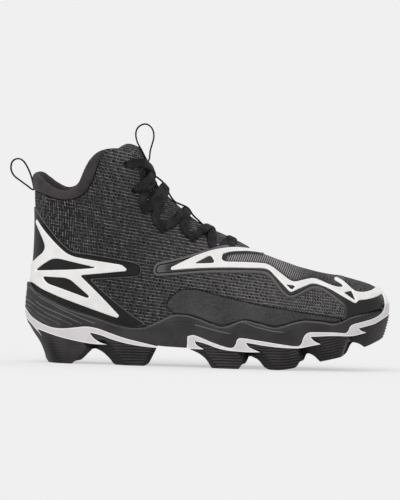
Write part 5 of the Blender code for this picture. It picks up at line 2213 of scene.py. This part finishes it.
    def build(self) -> None:
        """Makes the laces, the webbing keepers and the tape on the tongue."""
        lace = Ribbon(self.width, self.thick, arch=self.arch)
        meshes = [lace.mesh(route) for side in Side for route in self._strand(side)]
        laces = mesh_piece("laces", *joined(meshes), (LACE_TAPE,))
        dressed(facing_out(laces), "lace", *(f"lace_crossing_{n}" for n in range(1, CROSSINGS + 1)))
        for side in Side:
            for number in range(KEPT_TURNS):
                self._tab(number, side)
        route = flat_route(TONGUE_TAPE, LAST.crest(MIDDLE_STATION)[1])
        tape = mesh_piece("tongue_tape", *self.tape.mesh(route), (WEBBING,))
        dressed(facing_out(tape), "webbing")

    def _tab(self, number: int, side: Side) -> None:
        """A webbing keeper over the bottom of a turn of the lace.

        Args:
            number: the turn's number from the top.
            side: side of the shoe.
        """
        turn = np.array(LACE_TURNS[number])
        bottom = turn[np.argmin(turn[:, 1])]
        away = unit(bottom - (turn[0] + turn[-1]) / 2) * self.tab_reach
        rows = [self._row(bottom + away * share, side, lift, 1) for share, lift in self.tab_arch]
        name = f"lace_keeper_{side.name.lower()}_{number + FIRST_KEEPER}"
        tab = mesh_piece(name + "_webbing", *self.tab.mesh(rows), (WEBBING,))
        dressed(facing_out(tab), "webbing", name)


@dataclass
class PullLoops:
    """Folded webbing loops at the heel and on the tongue."""

    tape: Ribbon = Ribbon(9.0, 1.3)

    def build(self) -> None:
        """Makes both loops."""
        for name, line in (("heel_pull_loop", HEEL_LOOP), ("tongue_pull_loop", TONGUE_LOOP)):
            mesh = self.tape.mesh(flat_route(line, 0, closed=True), closed=True)
            dressed(facing_out(mesh_piece(name + "_webbing", *mesh, (WEBBING,))), "webbing", name)


@dataclass
class Tongue:
    """Padded tongue between the throat edges, from under the vamp to above the collar."""

    thick: float = 4.6
    edge_thick: float = 2.0
    lean: float = 2.0
    under: float = 3.0
    wing: float = 13.0
    half_width: float = 34.0
    vamp_rib: float = 75.0
    rows: int = 64
    across: int = 33
    top_station: float = 8.35
    low_station: float = 16.0
    roll: tuple[float, ...] = (1.0, 0.96, 0.86, 0.7, 0.45, 0.2)
    slim: tuple[float, ...] = (0.12, 0.5, 0.8, 0.96)

    def _row(self, station: float) -> Array:
        """Points across the tongue's outer face, from the lateral wing to the medial one.

        Args:
            station: where along the tongue.

        Returns:
            Rows of (x, y, z).
        """
        lift = -(WALL + 3 * GAP)
        last = TONGUE_CREST[-1][0]
        end = LAST.raised(max(station, THROAT_END), 1.0, lift)
        share = np.clip((station - last) / (THROAT_END - last), 0, 1)
        middle = LAST.crest(min(station, last)) * (1 - share) + end * share
        points = []
        for side in Side:
            for distance in (self.wing, self.under):
                if station < last:
                    place, height = LAST.beside_throat(station, side, distance)
                else:
                    place, height = side.value * station, 1 - distance / self.vamp_rib
                points.append(LAST.raised(place, height, lift))
        lateral_wing, lateral_edge, medial_wing, medial_edge = points
        five = np.array([lateral_wing, lateral_edge, middle, medial_edge, medial_wing])
        table, places = np.linspace(0, 1, len(five)), np.linspace(0, 1, self.across)
        return np.stack([smooth(np.stack([table, axis], axis=1), places) for axis in five.T], axis=1)

    def build(self) -> None:
        """Makes the tongue with a rolled top edge."""
        stations = np.linspace(self.top_station, self.low_station, self.rows)
        body = [self._row(station) for station in stations]
        lean = np.zeros_like(body[0])
        lean[:, 0] = -self.lean
        lean[:, 2] = np.maximum(smooth(TONGUE_TOP, body[0][:, 0] - self.lean) - body[0][:, 2], 0)
        outer = np.array([*(body[0] + lean * share for share in self.roll), *body])
        normal = unit(np.cross(np.gradient(outer, axis=0), np.gradient(outer, axis=1)))
        if normal[0, self.across // 2, 0] < 0:
            normal = -normal
        share = np.sin(np.linspace(0, math.pi, self.across))
        thick = self.edge_thick + (self.thick - self.edge_thick) * share
        slim = np.concatenate([self.slim, np.ones(len(outer) - len(self.slim))])
        inset = (1 - slim[:, None]) * thick[None, :] / 2
        front = outer - normal * inset[..., None]
        back = outer - normal * (thick[None, :] - inset)[..., None]
        sections = np.concatenate([front, back[:, ::-1]], axis=1)
        lay = np.zeros_like(sections)
        lay[..., 0] = np.concatenate([np.linspace(-1, 1, self.across)] * 2) * self.half_width
        points, lay = sections.reshape(-1, 3), lay.reshape(-1, 3)
        tongue = mesh_piece("tongue_pad", points, tube(sections), lay, (TONGUE_WEAVE,))
        dressed(facing_out(tongue), "lining", "tongue")


@dataclass
class Cuff:
    """Padded band on top of the collar, with a lining skirt inside the upper."""

    bulge: float = 1.1
    bulge_least: float = 0.6
    bulge_gain: float = 0.05
    depth: float = 6.0
    skirt: float = 26.0
    skirt_loss: float = 0.7
    depth_loss: float = 0.6
    ending_from: float = 5.5
    ending_run: float = 2.0
    edge: float = 1.4
    spacing: float = 1.5
    clear: float = 0.05
    ring: int = 56
    fine: float = 0.05
    height_scale: float = 100.0

    def build(self) -> None:
        """Makes the cuff from a rounded profile taken round the collar."""
        places = LAST.columns(self.spacing)
        ends = CUFF_END - self.clear
        places = np.concatenate([[-ends], places[np.abs(places) < ends], [ends]])
        start = LAST.cuff_start(places)
        band, rib = 1 - start, LAST.rib_length(places)
        bulge = self.bulge * (self.bulge_least + self.bulge_gain * band * rib)
        ending = np.clip((np.abs(places) - self.ending_from) / self.ending_run, 0, 1)
        skirt = self.skirt * (1 - self.skirt_loss * ending) / rib
        inside = -(WALL + 4 * GAP)
        depth = self.depth - (self.depth + inside) * self.depth_loss * ending
        # Lift over the upper and height on the rib, once round the band.
        profile = (
            (0.0, start),
            (bulge, start + 0.4 * band),
            (0.5 * bulge, start + 0.85 * band),
            (-self.edge, start + band),
            (-0.6 * depth, start + 0.97 * band),
            (0.4 - depth, start + 0.3 * band),
            (-depth, start - 0.35 * skirt),
            (inside - self.edge, start - 0.97 * skirt),
            (inside, start - skirt),
            (inside, start),
        )
        corners = [np.stack(np.broadcast_arrays(lift, height), axis=1) for lift, height in profile]
        sections = []
        for place, corner in zip(places, np.stack(corners, axis=1)):
            loop = flowing(corner * (1, self.height_scale), self.fine, closed=True)
            lift, height = loop[np.linspace(0, len(loop), self.ring, endpoint=False).astype(int)].T
            height = np.minimum(height / self.height_scale, 1)
            sections.append(LAST.raised(np.full(self.ring, place), height, lift))
        sections = np.array(sections)
        points = sections.reshape(-1, 3)
        cuff = mesh_piece("collar_cuff_pad", points, tube(sections), np.zeros_like(points), (CUFF_CLOTH,))
        dressed(facing_out(cuff), "lining", "collar_cuff")


# A line too far below the shoe to show, for pieces without ribs.
NO_RIBS: Sequence[Outline] = (((0, -99), (1, -99)),)


def cut_solid(
    name: str,
    body: bpy.types.Object,
    steps: Sequence[tuple[str, bpy.types.Object]],
    finish: Any,
    edge: Array,
    ribs: Sequence[Outline] = NO_RIBS,
) -> bpy.types.Object:
    """Cuts a closed body by others and returns the result as a new piece.

    Args:
        name: the new piece's name.
        body: the body to cut; it is used up.
        steps: Boolean operations and their cutters.
        finish: the finish of the piece.
        edge: side outline (x, z) that the finish's depth is taken from.
        ribs: side lines (x, z) of raised ribs and of stud facet edges, which the finish marks with painted
            highlights on the foam and painted shade on the studs.

    Returns:
        The piece.
    """
    for operation, cutter in steps:
        modifier = body.modifiers.new(operation.lower(), "BOOLEAN")
        modifier.operation = operation
        modifier.solver = "EXACT"
        modifier.object = cutter
    bpy.context.view_layer.update()
    graph = bpy.context.evaluated_depsgraph_get()
    mesh = bpy.data.meshes.new_from_object(body.evaluated_get(graph))
    mesh.name = name
    mesh.materials.clear()
    mesh.materials.append(material_of(finish))
    mesh.polygons.foreach_set("material_index", np.zeros(len(mesh.polygons), np.int32))
    points = np.empty(3 * len(mesh.vertices), np.float32)
    mesh.vertices.foreach_get("co", points)
    flat = (points.reshape(-1, 3) / MM + ORIGIN)[:, SEEN]
    away = np.min([line_distance(flat, rib) for rib in ribs], axis=0)
    lay = np.stack([flat[:, 0], away, np.abs(edge_distance(flat, edge))], axis=1)
    bpy.data.objects.remove(body, do_unlink=True)
    return riding(name, mesh, lay, SOLE_SHARP)


def helper_solid(name: str, points: Array, polygons: Polygons) -> bpy.types.Object:
    """A closed body used only for cutting."""
    return facing_out(linked(name, bare_mesh(name, points, polygons)))


def prism(name: str, outline: Outline, low_y: float, high_y: float) -> bpy.types.Object:
    """A side outline (x, z) run straight across the shoe.

    Args:
        name: the body's name.
        outline: corners (x, z).
        low_y: where it begins.
        high_y: where it ends.

    Returns:
        The body.
    """
    flat = np.array(outline, float)
    rings = [np.insert(flat, 1, y, axis=1) for y in (low_y, high_y)]
    return helper_solid(name, np.concatenate(rings), tube(np.array(rings)))


@dataclass
class Sole:
    """Midsole cup, insole, pale plates and studs, all on the last's feather line."""

    rim_thick: float = 1.8
    slack: float = 0.1
    flare: float = 4.5
    toe_flare: float = 2.7
    heel_flare: float = 0.5
    heel_ledge: float = 1.2
    toe_ledge: float = 2.3
    heel_setback: float = 17.0
    setback_reach: float = 70.0
    setback_bend: float = 1.25
    draft: float = 6.0
    draft_bend: float = 1.5
    sunk: float = 2.0
    inner_levels: tuple[float, ...] = (0.5, 0.98)
    bead_rise: float = 0.5
    bead: tuple[Span, ...] = ((0.3, 0.9), (0.7, 0.9), (0.95, 0.3), (1.0, -0.6))
    steps: tuple[Span, ...] = ((0.62, 0.3), (0.6, 0.9), (0.57, 1.2), (0.45, 1.2), (0.2, 0.72))
    heel_step_loss: float = 0.8
    side_levels: tuple[float, ...] = (1.0, 0.85, 0.7, 0.55, 0.4, 0.2)
    finer: int = 6
    spacing: float = 2.6
    insole_thick: float = 4.0
    insole_edge: tuple[Span, ...] = ((0.0, 0.3), (0.5, 0.1), (0.85, 0.6), (1.0, 1.8))
    half_width: float = 80.0
    corner: float = 0.9
    heel_rib: Span = (0.55, 0.6)
    side_rib: Span = (0.5, 1.3)
    tread: float = 0.34
    tread_heel: float = 0.3
    tread_from: Span = (58, 84)
    tread_pitch: float = 2.3
    plate_rise: float = 1.0
    plate_flat: Span = (272.0, 256.0)
    facet_most: float = 1.3
    facet_end: float = 1.9
    facet_fade: Span = (0.45, 0.2)
    core_top: float = 1.35
    core_rings: int = 28
    stud_spacing: float = 1.7
    stud_rings: int = 120

    def _side(
        self, places: Array, level: Any, tread: float = 0.0, facets: Sequence[Sequence[float]] = ()
    ) -> Array:
        """Side of the sole below the feather line.

        Args:
            places: places round the shoe.
            level: 0 at the studs, 1 at the feather line.
            tread: height of the fine ridges that run round it.
            facets: slanted facets pressed into it.

        Returns:
            Points (x, y, z).
        """
        foot = LAST.surface(places, 0)
        low = np.maximum(1 - level, 0)
        out = LAST.outward(places)
        end_flare = np.where(out[:, 0] > 0, self.toe_flare, self.heel_flare) * out[:, 0] ** 2
        base = smooth(FLOOR, foot[:, 0]) - self.sunk
        rise = (foot[:, 2] - base) * level
        reach = self.flare + end_flare - self.draft * low**self.draft_bend
        worn = self.tread_heel + (1 - self.tread_heel) * ease(foot[:, 0], *self.tread_from)
        reach = reach + tread * worn * np.cos(2 * math.pi * rise / self.tread_pitch)
        point = foot + out * reach[:, None]
        back = np.maximum(1 - foot[:, 0] / self.setback_reach, 0)
        point[:, 0] += self.heel_setback * low**self.setback_bend * back
        point[:, 2] = base + rise
        press = np.zeros(len(places))
        for x0, z0, x1, z1, along, across in facets:
            edge = x0 + (x1 - x0) * (point[:, 2] - z0) / (z1 - z0)
            share = (point[:, 0] - edge) / along
            above = (point[:, 2] - z0) / (z0 - z1)
            sunk = np.clip(share, 0, self.facet_most) * ease(share, self.facet_end, self.facet_most)
            press = np.maximum(press, across * sunk * ease(above, *self.facet_fade))
        return point - out * press[:, None]

    def _edge(self, line: Outline) -> list[tuple[float, float]]:
        """A side edge of a plate at its height on the sole's flared side."""
        return [(x, z + self.plate_rise * float(ease(x, *self.plate_flat))) for x, z in line]

    def _rings(self, name: str, rings: Sequence[Array]) -> bpy.types.Object:
        """A closed body lofted through rings round the shoe."""
        stack = np.array(rings)
        return helper_solid(name, stack.reshape(-1, 3), stacked(stack))

    def _core(self, name: str, places: Array, count: int, *relief: Any) -> bpy.types.Object:
        """The whole sole below the feather line, which plates and studs are cut to."""
        levels = np.linspace(0, self.core_top, count)
        return self._rings(name, [self._side(places, level, *relief) for level in levels])

    def _midsole(self, places: Array) -> None:
        """The cup with its wavy rim and stepped side, cut underneath to the plates.

        Args:
            places: places round the shoe.
        """
        rim = LAST.rim_height(places)
        out = LAST.outward(places)
        clear = GAP + self.slack
        bed = LAST.surface(places, 0) + out * clear
        bed[:, 2] -= GAP
        heelward, toeward = np.maximum(-out[:, 0], 0) ** 2, np.maximum(out[:, 0], 0) ** 2
        ledge = self.rim_thick + self.heel_ledge * heelward + self.toe_ledge * toeward
        inner = [LAST.raised(places, rim * part, np.full_like(places, clear)) for part in self.inner_levels]
        crest = self.bead_rise / LAST.rib_length(places)
        width = ledge - clear
        bead = [LAST.raised(places, rim + crest * up, clear + width * part) for part, up in self.bead]
        side_top = self._side(places, 1.0)
        rise = LAST.raised(places, rim, ledge) - side_top
        spread = out * (1 - self.heel_step_loss * heelward)[:, None]
        ledges = [side_top + rise * part + spread * reach for part, reach in self.steps]
        sides = [self._side(places, level) for level in self.side_levels]
        outer = np.array([bead[-1], *ledges, *sides])
        place = np.linspace(0, len(outer) - 1, self.finer * (len(outer) - 1) + 1)
        before = np.minimum(place.astype(int), len(outer) - 2)
        outer = outer[before] + (outer[before + 1] - outer[before]) * (place - before)[:, None, None]
        flat = outer[..., SEEN]
        for ribs, (height, half) in ((HEEL_RIBS, self.heel_rib), (SIDE_RIBS, self.side_rib)):
            away = np.min([line_distance(flat, rib) for rib in ribs], axis=0)
            outer += out * (height * np.exp(-((away / half) ** 2)))[..., None]
        body = self._rings("midsole_body", [bed, *inner, *bead[:-1], *outer])
        below = [BELOW_HEEL, *self._edge(HEEL_PLATE_TOP), *self._edge(FORE_PLATE_TOP), *BELOW_TOE]
        outline = rounded(outset(below, GAP / 2), self.corner)
        under = prism("midsole_underside", outline, -self.half_width, self.half_width)
        # The foam's painted highlights follow this rim line and the ribs.
        edge = np.array([*above_rim(RIM_PLACES, 0), *ABOVE_SHOE])
        cup = cut_solid("midsole_cup", body, [("DIFFERENCE", under)], FOAM, edge, HEEL_RIBS + SIDE_RIBS)
        bpy.data.objects.remove(under, do_unlink=True)
        dressed(cup, "midsole_foam", "midsole")

    def _layer(
        self,
        piece: tuple[str, Any, str, str],
        top: Outline,
        low: Outline,
        cutters: Sequence[tuple[str, bpy.types.Object]],
        ribs: Sequence[Outline] = NO_RIBS,
    ) -> None:
        """A plate or stud layer between two side edges, kept inside the sole's outline.

        Args:
            piece: its name, finish, material slot and the solid that it stands for.
            top: upper side edge (x, z).
            low: lower side edge (x, z).
            cutters: Boolean operations and their bodies; all but the first are used up.
            ribs: side lines (x, z) that show on it as lines of painted shade.
        """
        name, finish, slot, node = piece
        outline = rounded(outset([*top, *reversed(low)], -GAP / 2), self.corner)
        body = prism(name + "_body", outline, -self.half_width, self.half_width)
        dressed(cut_solid(name, body, cutters, finish, outline, ribs), slot, node)
        for _, cutter in cutters[1:]:
            bpy.data.objects.remove(cutter, do_unlink=True)

    def _insole(self, places: Array) -> None:
        """Soft sheet on the foot bed with a rounded edge.

        Args:
            places: places round the shoe.
        """
        out = LAST.outward(places)
        low = LAST.surface(places, 0) - out * (WALL + 2 * GAP)
        low[:, 2] += GAP
        thick = self.insole_thick
        stack = np.array([low - out * inset + (0, 0, thick * up) for up, inset in self.insole_edge])
        points = stack.reshape(-1, 3)
        sheet = mesh_piece("insole_sheet", points, stacked(stack), np.zeros_like(points), (LINING,))
        dressed(facing_out(sheet), "lining", "insole")

    def build(self) -> None:
        """Makes every piece of the sole."""
        places = LAST.columns(self.spacing)
        self._midsole(places)
        self._insole(places)
        heel = (self._edge(HEEL_PLATE_TOP), self._edge(HEEL_PLATE_LOW), HEEL_STUD_LOW, HEEL_CHANNEL)
        fore = (self._edge(FORE_PLATE_TOP), self._edge(FORE_PLATE_LOW), FORE_STUD_LOW, FORE_CHANNEL)
        sides = {"heel": heel, "forefoot": fore}
        core = self._core("sole_core", places, self.core_rings)
        for part, (top, low, _, _) in sides.items():
            piece = (part + "_plate_moulding", PLATE_WHITE, "sole_plate", part + "_plate")
            self._layer(piece, top, low, [("INTERSECT", core)])
        bpy.data.objects.remove(core, do_unlink=True)
        places = LAST.columns(self.stud_spacing)
        core = self._core("stud_core", places, self.stud_rings, self.tread, HEEL_FACETS + FORE_FACETS)
        for part, (_, top, low, channel) in sides.items():
            slit = prism(part + "_channel", channel, *CHANNEL_SIDES)
            piece = (part + "_studs", STUD_RUBBER, "stud_rubber", part + "_outsole")
            self._layer(piece, top, low, [("INTERSECT", core), ("DIFFERENCE", slit)], FACET_LINES)
        bpy.data.objects.remove(core, do_unlink=True)


@dataclass
class Studio:
    """Pale floor, soft light all round and a camera level with the shoe."""

    target: tuple[float, float, float] = (143.05, 0.0, 95.9)
    distance: float = 4000.0
    elevation: float = 0.7
    roll: float = 1.65
    lens: float = 349.0
    sight: float = 20.0
    floor_half: float = 3.0
    backdrop: float = 0.871
    floor_tone: float = 0.36
    floor_grain: float = 40.0
    floor_surface: Surface = Surface(1.0, 0.0, 0.01)
    ambient: float = 0.6
    softness: float = 50.0
    suns: tuple[tuple[str, float, tuple[float, float, float]], ...] = (
        ("key", 1.15, (-0.3, -0.6, 0.75)),
        ("fill", 0.5, (0.5, 0.6, 0.62)),
    )

    def build(self) -> None:
        """Sets up floor, light and camera."""
        self._floor()
        self._light()
        self._camera()
        bpy.context.scene.view_settings.view_transform = "Standard"
        bpy.context.scene.view_settings.look = "None"

    def _floor(self) -> None:
        """A plain pale floor under the studs."""
        half = self.floor_half
        corners = [(-half, -half, 0), (half, -half, 0), (half, half, 0), (-half, half, 0)]
        mesh = bpy.data.meshes.new("floor")
        mesh.from_pydata(corners, [], [(0, 1, 2, 3)])
        p = Paint("floor")
        shade = (self.floor_tone, self.floor_tone, self.floor_tone)
        sunlit = sum(power * float(unit(np.array(way))[2]) for _, power, way in self.suns) / math.pi
        glow = self.backdrop - self.floor_tone * (self.ambient + sunlit)
        lit = {"Emission_Color": (1.0, 1.0, 1.0), "Emission_Strength": glow}
        mesh.materials.append(p.finish(shade, p.grain(self.floor_grain), self.floor_surface, **lit))
        floor = linked("floor", mesh)

    def _light(self) -> None:
        """Even light from all round, with soft lights from above and from the camera's side."""
        world = bpy.data.worlds.new("studio")
        world.use_nodes = True
        tree = world.node_tree
        path = tree.nodes.new("ShaderNodeLightPath")
        mix = tree.nodes.new("ShaderNodeMixShader")
        tree.links.new(path.outputs["Is Camera Ray"], mix.inputs["Fac"])
        lighting = (tree.nodes["Background"], self.ambient)
        seen = (tree.nodes.new("ShaderNodeBackground"), self.backdrop)
        for socket, (ground, strength) in enumerate((lighting, seen), 1):
            ground.inputs["Color"].default_value = (1, 1, 1, 1)
            ground.inputs["Strength"].default_value = strength
            tree.links.new(ground.outputs["Background"], mix.inputs[socket])
        tree.links.new(mix.outputs["Shader"], tree.nodes["World Output"].inputs["Surface"])
        bpy.context.scene.world = world
        for name, power, way in self.suns:
            light = bpy.data.lights.new(name, "SUN")
            light.energy = power
            light.angle = math.radians(self.softness)
            linked(name, light).rotation_euler = Vector(way).to_track_quat("Z", "Y").to_euler()

    def _camera(self) -> None:
        """A long lens on the lateral side, rolled as in the photograph."""
        camera = bpy.data.cameras.new("camera")
        camera.lens = self.lens
        camera.clip_end = self.sight
        seat = linked("camera", camera)
        target = Vector((np.array(self.target) - ORIGIN) * MM)
        tilt = math.radians(self.elevation)
        seat.location = target + Vector((0, -math.cos(tilt), math.sin(tilt))) * (self.distance * MM)
        aim = (target - seat.location).to_track_quat("-Z", "Y").to_matrix()
        seat.rotation_euler = (aim @ Matrix.Rotation(math.radians(self.roll), 3, "Z")).to_euler()
        bpy.context.scene.camera = seat


def main() -> None:
    """Builds every piece in order."""
    logging.basicConfig(level=logging.INFO, format="%(message)s")
    for part in (Studio(), Upper(), Overlays(), Sole(), Cuff(), Tongue(), Lacing(), PullLoops()):
        LOG.info("building %s", type(part).__name__)
        part.build()


if __name__ == "__main__":
    main()
